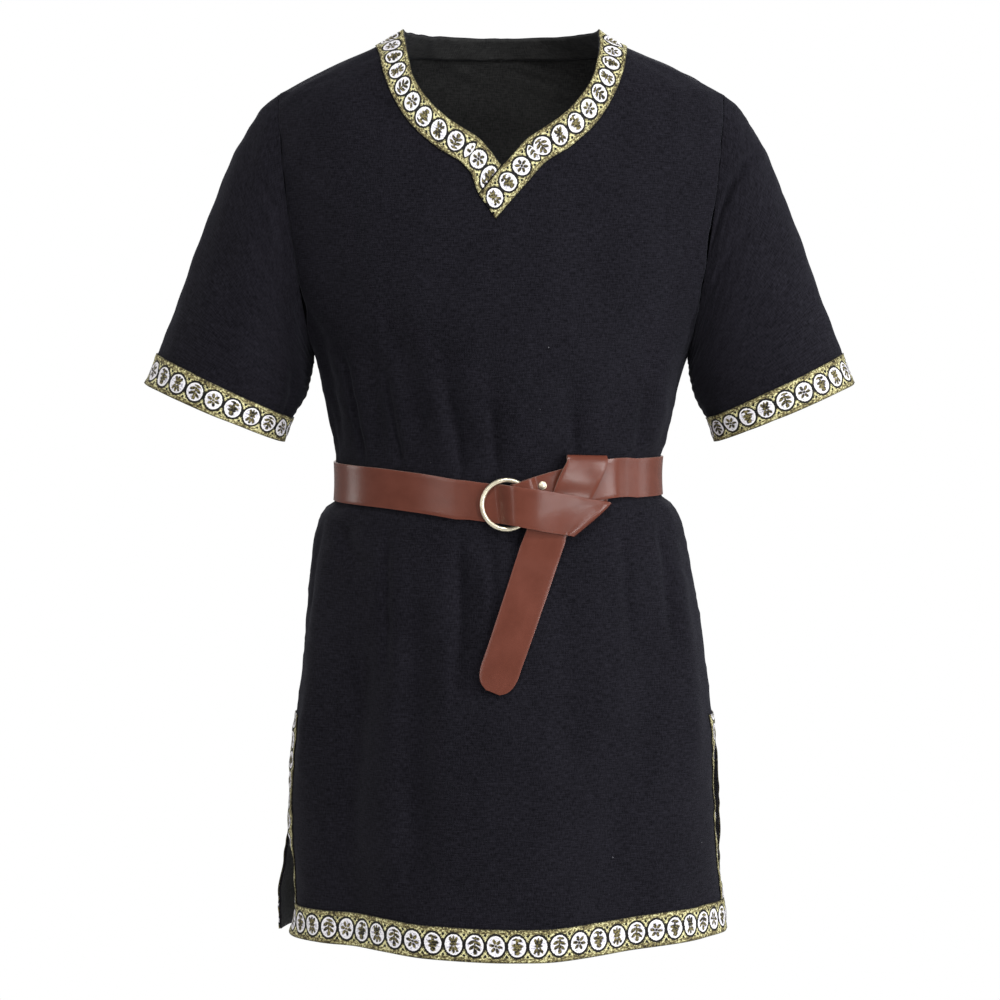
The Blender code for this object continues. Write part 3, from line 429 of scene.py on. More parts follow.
def belt_sag(turn, z):
    """How far the belt's slant draws the shape of the waist up or down."""
    pull = read(BELT_PULL, "share", np.abs(z - BELT_LEVEL))
    return (read(BELT_LINE, "z", turn) - BELT_LEVEL) * pull


def body(angle, z):
    """Points of the unfolded body: 0 degrees at the centre front, +90 at the wearer's left."""
    angle, z = np.broadcast_arrays(np.asarray(angle, float), np.asarray(z, float))
    turn = wrap(angle)
    level = z - belt_sag(turn, z)
    ahead = np.abs(turn) <= 90.0
    half, depth, shift = [np.where(ahead, a, b) for a, b in zip(section(level, "front"),
                                                                section(level, "back"))]
    lean = np.radians(turn)
    return np.stack((shift + half * np.sin(lean),
                     np.where(ahead, -1.0, 1.0) * depth * np.abs(np.cos(lean)), z), axis=-1)


def outward(angle, z):
    """The outward directions of the unfolded body."""
    across = body(angle + TURN_STEP, z) - body(angle - TURN_STEP, z)
    up = body(angle, np.minimum(z + RISE_STEP, 0.0)) - body(angle, z - RISE_STEP)
    normal = np.cross(across, up)
    return normal / np.linalg.norm(normal, axis=-1, keepdims=True)


def fold_depth(angle, z):
    """How far the folds and the cloth's slight unevenness press it in."""
    turn = wrap(angle)
    ahead = np.abs(turn) <= 90.0
    on_face = np.where(ahead, turn, np.sign(turn) * (180.0 - np.abs(turn)))
    depth = np.zeros(np.shape(turn))
    for face, folds in FOLDS.items():
        for top_angle, top_z, low_angle, low_z, spread, most in folds:
            along = (top_z - z / MM) / (top_z - low_z)
            off = (on_face - top_angle - along * (low_angle - top_angle)) / spread
            strength = ease(along / FOLD_FADE) * ease((1.0 - along) / FOLD_FADE) * np.exp(-off ** 2)
            depth = depth + most * MM * FOLD_STRENGTH * strength * (ahead == (face == "front"))
    girth = np.radians(turn) * GIRTH_RADIUS
    for length, lean, start in RIPPLES:
        way = math.radians(lean)
        wave = (girth * math.cos(way) + z * math.sin(way)) * 2 * math.pi / length
        depth = depth + RIPPLE_DEPTH * np.sin(wave + start + 1.7 * np.sin(0.37 * wave))
    return depth


def cloth(angle, z, lift=0.0):
    """Points of the tunic's outer face, or of what is lifted off it."""
    angle, z = np.broadcast_arrays(np.asarray(angle, float), np.asarray(z, float))
    return body(angle, z) + outward(angle, z) * (lift - fold_depth(angle, z))[..., None]


PANEL_COLUMNS = 96
HEM_ROWS = 6
ARMHOLE_STEPS = 5                  # rows between two of the stations along the armhole
DROP = 0.0060                      # between rows below the armhole
OVAL_SHARE = 0.62                  # depth over half width of the body, about
ARMHOLE_TURNS = (0.0, 7.0, 22.0, 36.0, 50.0, 64.0, 78.0, 92.0, 106.0, 120.0, 134.0, 149.0, 164.0,
                 180.0)
BACK_NECK_ANGLES = (90.0, 84.0, 70.0, 53.0, 36.0, 18.0, 0.0)
BACK_CENTRE = (-0.0100, -0.0205, -0.0400, -0.0750, -0.1300, -0.2150, -0.3220)


def slit_angle(face, z):
    """Where a panel ends at the side: at the seam, or at the open edge of the slit."""
    opening = ease((SLIT_TOP - z) / (SLIT_TOP - HEM_LEVEL)) * SLIT_HALF_GAP + SEAM_GAP / 2
    return 90.0 - np.degrees(np.arcsin(opening / section(z, face)[1]))


def lean_to(x, half):
    """The angle at which a half oval reaches a distance from its middle."""
    return np.degrees(np.arcsin(np.clip(x / half, -1.0, 1.0)))


def hem_rise(turn, z):
    """How far the hem's curve moves the cloth up or down, less and less up to the slit."""
    share = ease((SLIT_TOP - z) / (SLIT_TOP - HEM_LEVEL - RIBBON_WIDTH))
    return (read(HEM, "z", turn) - HEM_LEVEL) * share


def row_ends(face, side):
    """Angle and height of the inner and the outer end of each row of half a panel."""
    last_neck, last_turn = len(NECKLINE["along"]) - 1, len(ARMHOLE_TURNS) - 1
    stations = np.linspace(0.0, last_turn, last_turn * ARMHOLE_STEPS + 1)
    turns = np.radians(np.interp(stations, range(len(ARMHOLE_TURNS)), ARMHOLE_TURNS))
    outer_z = ARMHOLE_MIDDLE[1] + np.cos(turns) * ARMHOLE_HALF[1]
    outer = lean_to(armhole(outer_z)[0], section(outer_z, face)[0])
    if face == "back":
        neck = len(BACK_NECK_ANGLES)
        inner = np.interp(stations, range(neck), BACK_NECK_ANGLES)
        inner_z = np.interp(stations, range(neck - 1, neck + len(BACK_CENTRE)), (0.0, *BACK_CENTRE))
    else:
        knots = list(NECKLINE["along"][::-1])
        knots += np.linspace(knots[-1], UNDERARM_POINT[1], last_turn - last_neck + 1)[1:].tolist()
        inner_z = np.interp(stations, range(len(knots)), knots)
        x = side * read(NECKLINE, "half", inner_z) + NECK_SHIFT * ease(inner_z / NECK_SHIFT_FULL)
        inner = lean_to(np.abs(x), section(inner_z, face)[0])
        inner = np.where(stations < last_neck, inner, 0.0)
    levels = np.arange(UNDERARM_POINT[1] - DROP, HEM_LEVEL + RIBBON_WIDTH, -DROP)
    levels = np.concatenate((levels, np.linspace(HEM_LEVEL + RIBBON_WIDTH, HEM_LEVEL, HEM_ROWS)))
    inner = np.concatenate((inner, np.zeros(len(levels))))
    outer = np.concatenate((outer, slit_angle(face, levels)))
    return inner, np.concatenate((inner_z, levels)), outer, np.concatenate((outer_z, levels))


def panel_rows(face, side, ends):
    """Points on rows of half a panel, finely and evenly spread, with their distance along."""
    inner, inner_z, outer, outer_z = [end[:, None] for end in ends]
    share = np.linspace(0.0, 1.0, 3 * PANEL_COLUMNS)[None, :]
    angle = inner + share * (outer - inner)
    turn = wrap(side * angle if face == "front" else 180.0 - side * angle)
    z = inner_z + share * (outer_z - inner_z)
    below = z < UNDERARM_POINT[1] - 0.0001
    z = z + np.where(below, hem_rise(turn, z) + belt_sag(turn, z), 0.0)
    points = cloth(turn, z)
    steps = np.linalg.norm(np.diff(points, axis=1), axis=2)
    return points, np.concatenate((np.zeros((len(points), 1)), np.cumsum(steps, axis=1)), axis=1)


def spread(points, length, places):
    """Points picked from each row at given distances along it."""
    return np.array([[np.interp(place, along, row[:, axis]) for axis in range(3)]
                     for row, along, place in zip(points, length, places)]).transpose(0, 2, 1)


def in_frame(made, solid):
    """Says which body a finished piece rides on, and the solid that it stands for."""
    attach(made, "root")
    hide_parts(solid)
    return made


def piece_of(name, points, uv, faces, finishes, solid, wall=CLOTH, inwards=True, edge=0,
             lining=0):
    """A shell on its own points with its cut's UV; edge and lining pick those sides' finishes."""
    mesh = bpy.data.meshes.new(name)
    mesh.from_pydata(points.reshape(-1, 3).tolist(), [], faces)
    layer = mesh.uv_layers.new(name="cut")
    flat = uv.reshape(-1, 2)
    for loop in mesh.loops:
        layer.data[loop.index].uv = flat[loop.vertex_index]
    for one in finishes:
        mesh.materials.append(one)
    mesh.shade_smooth()
    made = placed(name, mesh)
    shell = made.modifiers.new("wall", "SOLIDIFY")
    shell.thickness = wall
    shell.offset = -1.0 if inwards else 1.0
    shell.use_even_offset = True
    shell.material_offset = lining
    shell.material_offset_rim = edge
    return in_frame(made, solid)


def grid_faces(rows, columns, closed=False, flip=False):
    """Four-sided faces between the points of a grid, closed round if asked."""
    faces = []
    for i in range(rows - 1):
        for j in range(columns if closed else columns - 1):
            k = (j + 1) % columns
            corners = (i * columns + j, (i + 1) * columns + j,
                       (i + 1) * columns + k, i * columns + k)
            faces.append(corners[::-1] if flip else corners)
    return faces


def grid_area(points):
    """Area of the cloth between a grid's points."""
    across, down = np.diff(points, axis=1)[:-1], np.diff(points, axis=0)[:, :-1]
    return float(np.linalg.norm(np.cross(across, down), axis=2).sum())


def across_cut(grid, face):
    """Distance across the flat cut from its centre line, so that the yarns run straight down."""
    half, depth, shift = section(grid[..., 2], face)
    lean = np.arctan2((grid[..., 0] - shift) / half, np.abs(grid[..., 1]) / depth)
    leans = np.linspace(-math.pi / 2, math.pi / 2, 181)
    speed = np.hypot(np.cos(leans), OVAL_SHARE * np.sin(leans))
    arc = np.concatenate(([0.0], np.cumsum((speed[1:] + speed[:-1]) / 2 * (leans[1] - leans[0]))))
    return half * np.interp(lean, leans, arc - arc[-1] / 2)


def whole_panel(face):
    """One panel, its halves joined on the centre line below the neck, and its cut's area."""
    points, uv, faces, area, seam = [], [], [], 0.0, {}
    for side in (-1, 1):
        ends = row_ends(face, side)
        fine, length = panel_rows(face, side, ends)
        places = np.array([np.linspace(0.0, along[-1], PANEL_COLUMNS + 1) for along in length])
        grid = spread(fine, length, places)
        middle = (ends[0] == 0.0)
        grid[0, :, 1] += SEAM_GAP / 2 * (-1.0 if face == "front" else 1.0)
        cut = np.stack((across_cut(grid, face), -grid[..., 2]), axis=2)
        index = np.empty(grid.shape[:2], int)
        for i in range(grid.shape[0]):
            for j in range(grid.shape[1]):
                if j == 0 and middle[i] and side == 1:
                    index[i, j] = seam[i]
                    continue
                index[i, j] = len(points)
                points.append(grid[i, j])
                uv.append(cut[i, j])
            if side == -1 and middle[i]:
                seam[i] = index[i, 0]
        flip = (side == 1) == (face == "back")
        for i, j, k, m in grid_faces(*grid.shape[:2], flip=flip):
            faces.append([int(index.flat[n]) for n in (i, j, k, m)])
        area += grid_area(grid)
    return np.array(points), np.array(uv), faces, area


WRONG_SIDE_COLOURS = ((0.015, 0.015, 0.015, 1.0), (0.040, 0.040, 0.039, 1.0))
wrong_side = black_weave("cloth_wrong_side", *WRONG_SIDE_COLOURS, 0.3)
panels, areas = {}, {}
for face in ("front", "back"):
    points, uv, faces, areas[face] = whole_panel(face)
    panels[face] = piece_of("cloth_" + face, points, uv, faces, [black_cloth, wrong_side],
                            face, lining=1)


# Sleeves: short, straight-cut tubes of the same cloth, set into the armholes and cut square at
# the cuff. A drag fold runs from the wearer's left shoulder down to the armhole, and each sleeve
# buckles a little where it turns under the arm.

SLEEVE_COLUMNS = ("top_x", "top_z", "under_x", "under_z", "half_depth")
SLEEVE = table(("ring", *SLEEVE_COLUMNS), tuple(
    (float(ring), *values) for ring, values in enumerate((
        (0.2205, -0.064, 0.186, -0.322, 0.055), (0.234, -0.0745, 0.1868, -0.3275, 0.0575),
        (0.248, -0.093, 0.1876, -0.333, 0.0595), (0.2625, -0.118, 0.1884, -0.339, 0.061),
        (0.278, -0.1535, 0.1898, -0.347, 0.062), (0.296, -0.199, 0.1922, -0.356, 0.062),
        (0.313, -0.244, 0.1955, -0.366, 0.0615), (0.328, -0.285, 0.2005, -0.376, 0.0605),
        (0.3415, -0.3205, 0.2065, -0.385, 0.0595), (0.348, -0.3355, 0.2122, -0.3962, 0.0588),
        (0.354, -0.3505, 0.2175, -0.4078, 0.058)))))
LAST_RING = 10.0
CUFF_START = 8.0                   # ring where the cuff's ribbon begins
CUFF_DIP = 0.0010
SLEEVE_HANG = {-1: 0.0, 1: -0.0030}
SLEEVE_GAP = 0.0005
SLEEVE_SIDES = 112
SLEEVE_ROWS = 71
SLEEVE_GIRTH = 0.42                # round, and from ring to ring, for the ripples
RING_STEP = 0.028
# side, start ring and turn, end ring and turn, spread in turns, depth
SLEEVE_FOLDS = (
    (1, 3.0, -0.060, 0.0, -0.300, 0.016, 0.0055), (1, 4.2, -0.140, 1.0, -0.360, 0.022, 0.0025),
    (-1, 3.0, -0.100, 0.4, -0.280, 0.024, 0.0014), (-1, 4.0, -0.390, 9.4, -0.450, 0.020, 0.0042),
    (-1, 4.2, -0.330, 7.2, -0.420, 0.022, -0.0018), (1, 5.2, -0.410, 8.4, -0.450, 0.024, 0.0022),
    (-1, 6.4, -0.500, 9.0, -0.500, 0.030, 0.0024), (1, 6.4, -0.500, 9.0, -0.500, 0.030, 0.0020),
    (-1, 1.0, 0.120, 3.8, 0.250, 0.022, 0.0022), (1, 1.0, 0.110, 3.8, 0.260, 0.022, 0.0024),
    (-1, 4.6, 0.380, 8.2, 0.440, 0.024, 0.0020), (1, 4.6, 0.370, 8.2, 0.440, 0.024, 0.0020))


def sleeve(side, rings):
    """Points of one sleeve, a row for each ring from its top; -1 is the wearer's right."""
    top_x, top_z, under_x, under_z, half_depth = [read(SLEEVE, name, rings)[:, None]
                                                  for name in SLEEVE_COLUMNS]
    share = (rings / LAST_RING)[:, None]
    turn = np.arange(SLEEVE_SIDES)[None, :] / SLEEVE_SIDES
    lean = 2.0 * math.pi * turn
    half_x, half_z = (top_x - under_x) / 2, (top_z - under_z) / 2
    long_half = np.hypot(half_x, half_z)
    front = -side * np.sin(lean)
    dip = CUFF_DIP * share ** 2 * front
    x = ((top_x + under_x) / 2 + half_x * np.cos(lean)
         + ARMHOLE_BOW * (1.0 - share) * np.sin(lean) ** 2 + dip * half_z / long_half
         + SLEEVE_HANG[side] * share + SLEEVE_GAP * (rings == 0.0)[:, None])
    y = -half_depth * front + 0.0 * x
    z = (top_z + under_z) / 2 + half_z * np.cos(lean) - dip * half_x / long_half
    grid = np.stack((side * x, y, z), axis=2)
    from_top = wrap(360.0 * side * turn) / 360.0
    press = np.zeros(x.shape)
    for which, ring_a, turn_a, ring_b, turn_b, width, most in SLEEVE_FOLDS:
        if which == side:
            along = (rings[:, None] - ring_a) / (ring_b - ring_a)
            middle = turn_a + along * (turn_b - turn_a)
            off = (from_top - middle + 0.5) % 1.0 - 0.5
            strength = ease(along / FOLD_FADE) * ease((1.0 - along) / FOLD_FADE)
            press = press + most * strength * np.exp(-(off / width) ** 2)
    for length, way, start in RIPPLES:
        wave = (turn * SLEEVE_GIRTH * math.cos(way)
                + rings[:, None] * RING_STEP * math.sin(way)) * 2 * math.pi / length
        press = press + RIPPLE_DEPTH * np.sin(wave + start) * ease(rings / 2.0)[:, None]
    return grid - grid_normals(grid, True) * press[..., None]


def grid_normals(grid, closed):
    """Outward directions at the points of a grid, or of a tube's closed rings."""
    across_it = (np.roll(grid, -1, axis=1) - np.roll(grid, 1, axis=1) if closed
                 else np.gradient(grid, axis=1))
    normal = np.cross(np.gradient(grid, axis=0), across_it)
    return normal / np.linalg.norm(normal, axis=2, keepdims=True)


def run_along(points):
    """Distance along a line of points, at each of them."""
    steps = np.linalg.norm(np.diff(points, axis=0), axis=1)
    return np.concatenate(([0.0], np.cumsum(steps)))


def tube_cut(grid):
    """UV of a tube: distance round at its ring, distance down its length."""
    closed = np.concatenate((grid, grid[:, :1]), axis=1)
    girth = np.linalg.norm(np.diff(closed, axis=1), axis=2).sum(axis=1)
    turn = np.abs(np.arange(grid.shape[1]) / grid.shape[1] - 0.5)
    down = run_along(grid.mean(axis=1))
    return np.stack(np.broadcast_arrays(turn[None, :] * girth[:, None], down[:, None]), axis=2)


SIDE_NAMES = {-1: "right", 1: "left"}
sleeves, sleeve_area = {}, {}
for side in (-1, 1):
    grid = sleeve(side, np.linspace(0.0, LAST_RING, SLEEVE_ROWS))
    sleeve_area[side] = grid_area(np.concatenate((grid, grid[:, :1]), axis=1))
    solid = "sleeve_" + SIDE_NAMES[side]
    sleeves[side] = piece_of("cloth_" + solid, grid, tube_cut(grid),
                             grid_faces(*grid.shape[:2], closed=True), [black_cloth],
                             solid)


# Back neck facing: a shallow shaped strip of the same cloth inside the back, level along its
# lower edge, turned in at the neck and stitched down. Its yarns look a little greyer.

FACING_DROP = -0.0205
FACING_START = 93.0
FACING_WALL = 0.0008
FACING_GAP = 0.0008
FACING_RADIUS = 0.09               # for its cut's length
FACING_COLOURS = ((0.020, 0.020, 0.020, 1.0), (0.044, 0.044, 0.043, 1.0))

facing_cloth = black_weave("facing_cloth", *FACING_COLOURS, 0.2)
facing_angle = np.linspace(FACING_START, 360.0 - FACING_START, 121)[None, :]
facing_z = np.linspace(0.0, FACING_DROP, 9)[:, None]
facing_points = cloth(facing_angle, facing_z, lift=-CLOTH - FACING_GAP)
facing_along = np.radians(facing_angle) * FACING_RADIUS
facing_uv = np.stack(np.broadcast_arrays(facing_along, -facing_z), axis=2)
facing = piece_of("cloth_neck_facing", facing_points, facing_uv,
                  grid_faces(*facing_points.shape[:2]), [facing_cloth],
                  "back_neck_facing", wall=FACING_WALL)


# Trim: a woven jacquard ribbon 32 mm wide, machine-stitched flat along both its edges. Its ground
# is olive-gold twill, with silvery white ovals outlined in black down the middle. Each oval holds
# a small plant motif of this part's own design: a sprig, a rosette, a small tree or a sheaf.

PITCH = 0.0203                     # from oval to oval
OVAL = (0.0087, 0.0102)            # its half length along and across the ribbon
OVAL_RIM = 0.84                    # shares of the oval: where its plain rim begins, where it ends,
OVAL_END = 0.97                    # and where its black outline ends
OUTLINE_END = 1.19
OVAL_SOFT = 0.03
BORDER = 0.0113                    # where the plain twill border begins, from the middle
BORDER_SOFT = 0.0004
TWILL = 0.0011
SPARKLE_STEPS = (0.0026, 0.0019)
PATCH_STEPS = (0.013, 0.010)
TWILL_TONE = 0.05
PATCH_TONE = 0.35
WOBBLE_STEPS = (0.0016, 0.0016)
WOBBLE = 0.0014                    # how far the woven design strays from its drawing
CROSS_LEVEL = 0.0074               # where the pale threads cross, from the middle
CROSS_SLOPE = 1.3
CROSS_HALF = 0.00055
TRIANGLE_LEVEL = 0.0098            # the black triangles' middle, their slope and their half size
TRIANGLE_SLOPE = 1.2
TRIANGLE_HALF = 0.0019
WAIST_SLOPE = 0.34                 # the black wedge between two ovals
WAIST_HALF = 0.0017
DESIGN_SOFT = 0.0003
RIBBON_THREADS = 0.0007
STITCH = 0.0030
STITCH_IN = 0.0148                 # the stitch lines, from the middle
STITCH_HALF = 0.00028
STITCH_SOFT = 0.00012
SELVAGE = 0.0154                   # where the dark woven edge begins, from the middle
SELVAGE_SOFT = 0.0002
RIBBON_RELIEF = 0.00030
GOLD_DARK = (0.024, 0.018, 0.007, 1.0)
GOLD = (0.235, 0.197, 0.075, 1.0)
# pale gold: the own colour of the pale crossing threads, and a painted glint of the metal threads
# in the ground's flecks
GOLD_PALE_AND_GLINT = (0.840, 0.800, 0.430, 1.0)
BORDER_GOLD = (0.200, 0.162, 0.072, 1.0)
SILVER = (0.960, 0.940, 0.970, 1.0)
SILVER_DIM = (0.380, 0.360, 0.470, 1.0)
RIBBON_BLACK = (0.004, 0.0035, 0.003, 1.0)
MOTIF_MM = 0.00116                 # a millimetre of a motif's drawing, on the ribbon
LEAF_EDGE = 1.12
LEAF_SOFT = 0.20
# each leaf, petal or stem: its centre along and across in mm, its half sizes in mm, its lean
SPRIG = ((0.2, -0.8, 0.7, 6.4, 4), (0.4, 5.2, 1.5, 2.2, 0), (2.5, 2.2, 2.7, 1.2, 38),
         (-2.3, 1.6, 2.7, 1.2, 142), (2.7, -1.8, 2.6, 1.3, 32), (-2.6, -2.4, 2.6, 1.3, 148),
         (1.2, -5.8, 3.0, 1.0, 8))
ROSETTE = ((0.0, 0.0, 1.0, 1.0, 0), *[
    (3.4 * math.cos(math.radians(lean)), 3.9 * math.sin(math.radians(lean)), 2.1, 1.2, lean)
    for lean in range(10, 370, 60)])
SMALL_TREE = ((0.1, 4.9, 2.1, 1.9, 0), (-0.2, 2.0, 3.4, 1.6, -6), (0.3, -0.9, 4.4, 1.7, 5),
              (0.0, -3.4, 1.0, 2.4, 0), (-1.4, -6.0, 3.6, 1.1, 12), (2.6, -5.2, 1.6, 1.2, -20))
SHEAF = ((0.0, 4.6, 1.1, 2.6, 0), (-2.3, 3.4, 1.1, 2.7, 28), (2.3, 3.5, 1.1, 2.7, -28),
         (0.0, -0.4, 3.0, 1.3, 0), (-1.9, -3.6, 1.2, 3.0, -24), (1.9, -3.6, 1.2, 3.0, 24),
         (0.0, -4.6, 0.9, 2.6, 0))
MOTIFS = (SPRIG, ROSETTE, SMALL_TREE, SHEAF)


def beyond(value, edge, width):
    """0 below an edge and 1 above it, with a soft step."""
    return node(value.tree, "MapRange", "Result", interpolation_type="SMOOTHSTEP", Value=value,
                From_Min=edge - width, From_Max=edge + width)


def within(value, edge, width):
    return 1.0 - beyond(value, edge, width)


def either(first, *masks):
    for mask in masks:
        first = calc("MAXIMUM", first, mask)
    return first


def oval_at(x, y, half_x, half_y):
    """Distance from the middle of an oval, 1 on its outline."""
    a, b = x / half_x, y / half_y
    return calc("SQRT", a * a + b * b)


def leaf_shapes(x, y, leaves):
    """A mask of a motif's leaves."""
    nearest = None
    for centre_x, centre_y, half_x, half_y, lean in leaves:
        cos, sin = math.cos(math.radians(lean)), math.sin(math.radians(lean))
        from_x, from_y = x - centre_x, y - centre_y
        far = oval_at(from_x * cos + from_y * sin, from_y * cos - from_x * sin, half_x, half_y)
        nearest = calc("MINIMUM", nearest, far) if nearest else far
    return within(nearest, LEAF_EDGE, LEAF_SOFT)


woven_ribbon, tree, shader = finish("woven_ribbon", Specular_IOR_Level=0.22, Sheen_Weight=0.05,
                                    Sheen_Roughness=0.4)
place = along, across = cut_place(tree)
wobble = (noise(place, WOBBLE_STEPS, 2.0) - 0.5) * WOBBLE
cell = along / PITCH
x = (calc("FRACT", cell) - 0.5) * PITCH + wobble
y = across - wobble
height = abs(y)
to_edge = PITCH / 2 - abs(x)
kind = calc("FLOORED_MODULO", calc("FLOOR", cell) + 400.0, float(len(MOTIFS)))

# the ground's threads: gold, dark and pale by turns, in flecks one or two threads wide; the pale
# flecks are painted glints of the metal gold threads
sparkle = noise(place, SPARKLE_STEPS, 2.0, Roughness=0.7)
patch = noise(place, PATCH_STEPS, 1.0)
slant = calc("SINE", (along + across) * (2 * math.pi / TWILL))
tone = sparkle + (slant * TWILL_TONE + (patch - 0.5) * PATCH_TONE)
ground = ramp(tone, (0.41, GOLD_DARK), (0.49, GOLD), (0.60, GOLD_PALE_AND_GLINT))
border = ramp(tone, (0.39, GOLD_DARK), (0.46, BORDER_GOLD), (0.54, GOLD), (0.64, GOLD_PALE_AND_GLINT))

# between the ovals: pale threads that cross, with black triangles above and below the crossing
cross = either(*[within(abs(height - CROSS_LEVEL - to_edge * slope), CROSS_HALF, DESIGN_SOFT)
                 for slope in (CROSS_SLOPE, -CROSS_SLOPE)])
triangle = within(to_edge * TRIANGLE_SLOPE + abs(height - TRIANGLE_LEVEL), TRIANGLE_HALF,
                  DESIGN_SOFT)
wedge = within(to_edge + height * WAIST_SLOPE, WAIST_HALF, BORDER_SOFT)
design = blend(cross * within(height, BORDER, DESIGN_SOFT), ground, GOLD_PALE_AND_GLINT)
design = blend(either(triangle, wedge), design, RIBBON_BLACK)
design = blend(beyond(height, BORDER, BORDER_SOFT), design, border)

# the ovals and their motifs, the two lines of stitches, and the dark selvage
oval = oval_at(x, y, *OVAL)
motif = either(*[calc("COMPARE", kind, float(turn), 0.1)
                 * leaf_shapes(x / MOTIF_MM, y / MOTIF_MM, leaves)
                 for turn, leaves in enumerate(MOTIFS)])
motif = motif * within(oval, OVAL_RIM, OVAL_SOFT)
inner = blend(motif, ramp(sparkle, (0.36, SILVER_DIM), (0.52, SILVER)),
              ramp(tone, (0.42, RIBBON_BLACK), (0.50, GOLD_DARK), (0.58, GOLD)))
inner = blend(beyond(oval, OVAL_RIM, OVAL_SOFT), inner, SILVER)
disc = within(oval, OVAL_END, OVAL_SOFT)
outline = within(oval, OUTLINE_END, OVAL_SOFT) * beyond(oval, OVAL_END, OVAL_SOFT)
design = blend(disc, blend(outline, design, RIBBON_BLACK), inner)
dash = beyond(calc("SINE", along * (2 * math.pi / STITCH)), -0.35, 0.2)
stitches = within(abs(abs(across) - STITCH_IN), STITCH_HALF, STITCH_SOFT) * dash
design = blend(stitches * 0.75, design, RIBBON_BLACK)
design = blend(beyond(abs(across), SELVAGE, SELVAGE_SOFT) * 0.85, design, RIBBON_BLACK)
relief = (plain_weave(place, RIBBON_THREADS) * WEAVE_RELIEF + (disc * 1.2 + motif * -0.5)
          + (slant * 0.30 + stitches * -1.2))
dress(shader, Base_Color=design, Normal=bump(relief, 0.6, RIBBON_RELIEF),
      Roughness=0.58 - disc * 0.20)

RIBBON = 0.0009
RIBBON_LIFT = 0.0005
RIBBON_COLUMNS = 13
HEM_COLUMNS = 111
SLIT_ROWS = 63
MITRE_TUCK = 0.0085                # length of ribbon folded away in a mitre


def ribbon(name, grid, run_down, solid, start=0.0, closed=False, lift=RIBBON_LIFT, mitre=None):
    """A ribbon on the cloth: its length runs down the grid's rows, or across its columns.
    The start shifts its pattern along, and mitre is the row where some of it is folded away."""
    grid = grid + grid_normals(grid, closed) * lift
    if closed:
        grid = np.concatenate((grid, grid[:, :1]), axis=1)
    way = 0 if run_down else 1
    steps = np.linalg.norm(np.diff(grid, axis=way), axis=2).mean(axis=1 - way)
    length = start + np.concatenate(([0.0], np.cumsum(steps)))
    if mitre is not None:
        length[mitre:] -= MITRE_TUCK
    width = np.linspace(-0.5, 0.5, grid.shape[1 - way]) * RIBBON_WIDTH
    uv = np.stack(np.meshgrid(length, width, indexing="ij"), axis=2)
    if not run_down:
        uv = uv.swapaxes(0, 1)
    return piece_of(name, grid, uv, grid_faces(*grid.shape[:2]), [woven_ribbon],
                    solid, wall=RIBBON, inwards=False)


trims = {"front": [], "back": [], -1: [], 1: []}

# on the hem and the slits of both panels
for face in ("front", "back"):
    left_side, right_side = (-1, 1) if face == "front" else (1, -1)
    halves = {}
    for side in (-1, 1):
        levels = np.linspace(HEM_LEVEL + RIBBON_WIDTH, HEM_LEVEL, RIBBON_COLUMNS)
        flat_ends = (np.zeros(len(levels)), levels, slit_angle(face, levels), levels)
        fine, length = panel_rows(face, side, flat_ends)
        halves[side] = spread(fine, length, [np.linspace(0.0, row[-1], HEM_COLUMNS)
                                             for row in length])
        levels = np.linspace(SLIT_TRIM_TOP, HEM_LEVEL + RIBBON_WIDTH + SEAM_GAP, SLIT_ROWS)
        slit_ends = (np.zeros(len(levels)), levels, slit_angle(face, levels), levels)
        fine, length = panel_rows(face, side, slit_ends)
        strip = spread(fine, length, [np.linspace(row[-1] - RIBBON_WIDTH, row[-1], RIBBON_COLUMNS)
                                      for row in length])
        if side == left_side:
            strip = strip[:, ::-1]
        solid = f"slit_trim_{face}_{SIDE_NAMES[side]}"
        trims[face].append(ribbon("ribbon_" + solid, strip, True, solid, start=0.004 * (side + 2)))
    band = np.concatenate((halves[left_side][:, ::-1], halves[right_side][:, 1:]), axis=1)
    trims[face].append(ribbon("ribbon_hem_" + face, band, False, "hem_trim_" + face, start=0.0035))

# round both cuffs
for side in (-1, 1):
    grid = sleeve(side, np.linspace(CUFF_START, LAST_RING, RIBBON_COLUMNS))
    solid = "cuff_trim_" + SIDE_NAMES[side]
    trims[side].append(ribbon("ribbon_" + solid, grid, False, solid, start=0.0061 * (side + 2),
                              closed=True))

# round the neck in two strips from the centre back: the left one ends square over the right one
NECK_STRIP = (
    (0.0961, -0.0014, 0.1237, -0.0180), (0.0955, -0.0100, 0.1228, -0.0225),
    (0.0942, -0.0215, 0.1205, -0.0300), (0.0910, -0.0372, 0.1160, -0.0500),
    (0.0855, -0.0564, 0.1050, -0.0765), (0.0693, -0.0800, 0.0873, -0.1028),
    (0.0533, -0.0950, 0.0648, -0.1232), (0.0380, -0.1055, 0.0510, -0.1320),
    (0.0226, -0.1160, 0.0404, -0.1390), (0.0110, -0.1289, 0.0310, -0.1490))
V_POINT = (0.0010, -0.1420)
V_OVER_CORNER = (-0.0211, -0.1701)
V_OVER_TIP = (-0.0048, -0.1933)
V_OVER_OUTER = (0.0228, -0.1610)
V_UNDER_OFF = 0.0011               # the under strip stops this far short of the over strip
BACK_EDGE = -0.0016                # z of the ribbon's upper edge on the back, below the neck edge
NECK_LIFT = 0.0007
BACK_ROWS = 56
PAIR_STEPS = 6
STRAIGHT_STEPS = 10
MITRE_ROW = BACK_ROWS + PAIR_STEPS * (len(NECK_STRIP) - 2) + 1


def front_place(x, z):
    """Points of the front's face, found from their x."""
    half, _, shift = section(z, "front")
    return cloth(lean_to(x - shift, half), z)


def below_neck(turn):
    """Height of the ribbon's lower edge on the back, one width from the neck edge."""
    drops = np.linspace(0.0, -0.040, 401)
    path = body(turn, drops)
    return float(np.interp(RIBBON_WIDTH, run_along(path), drops))


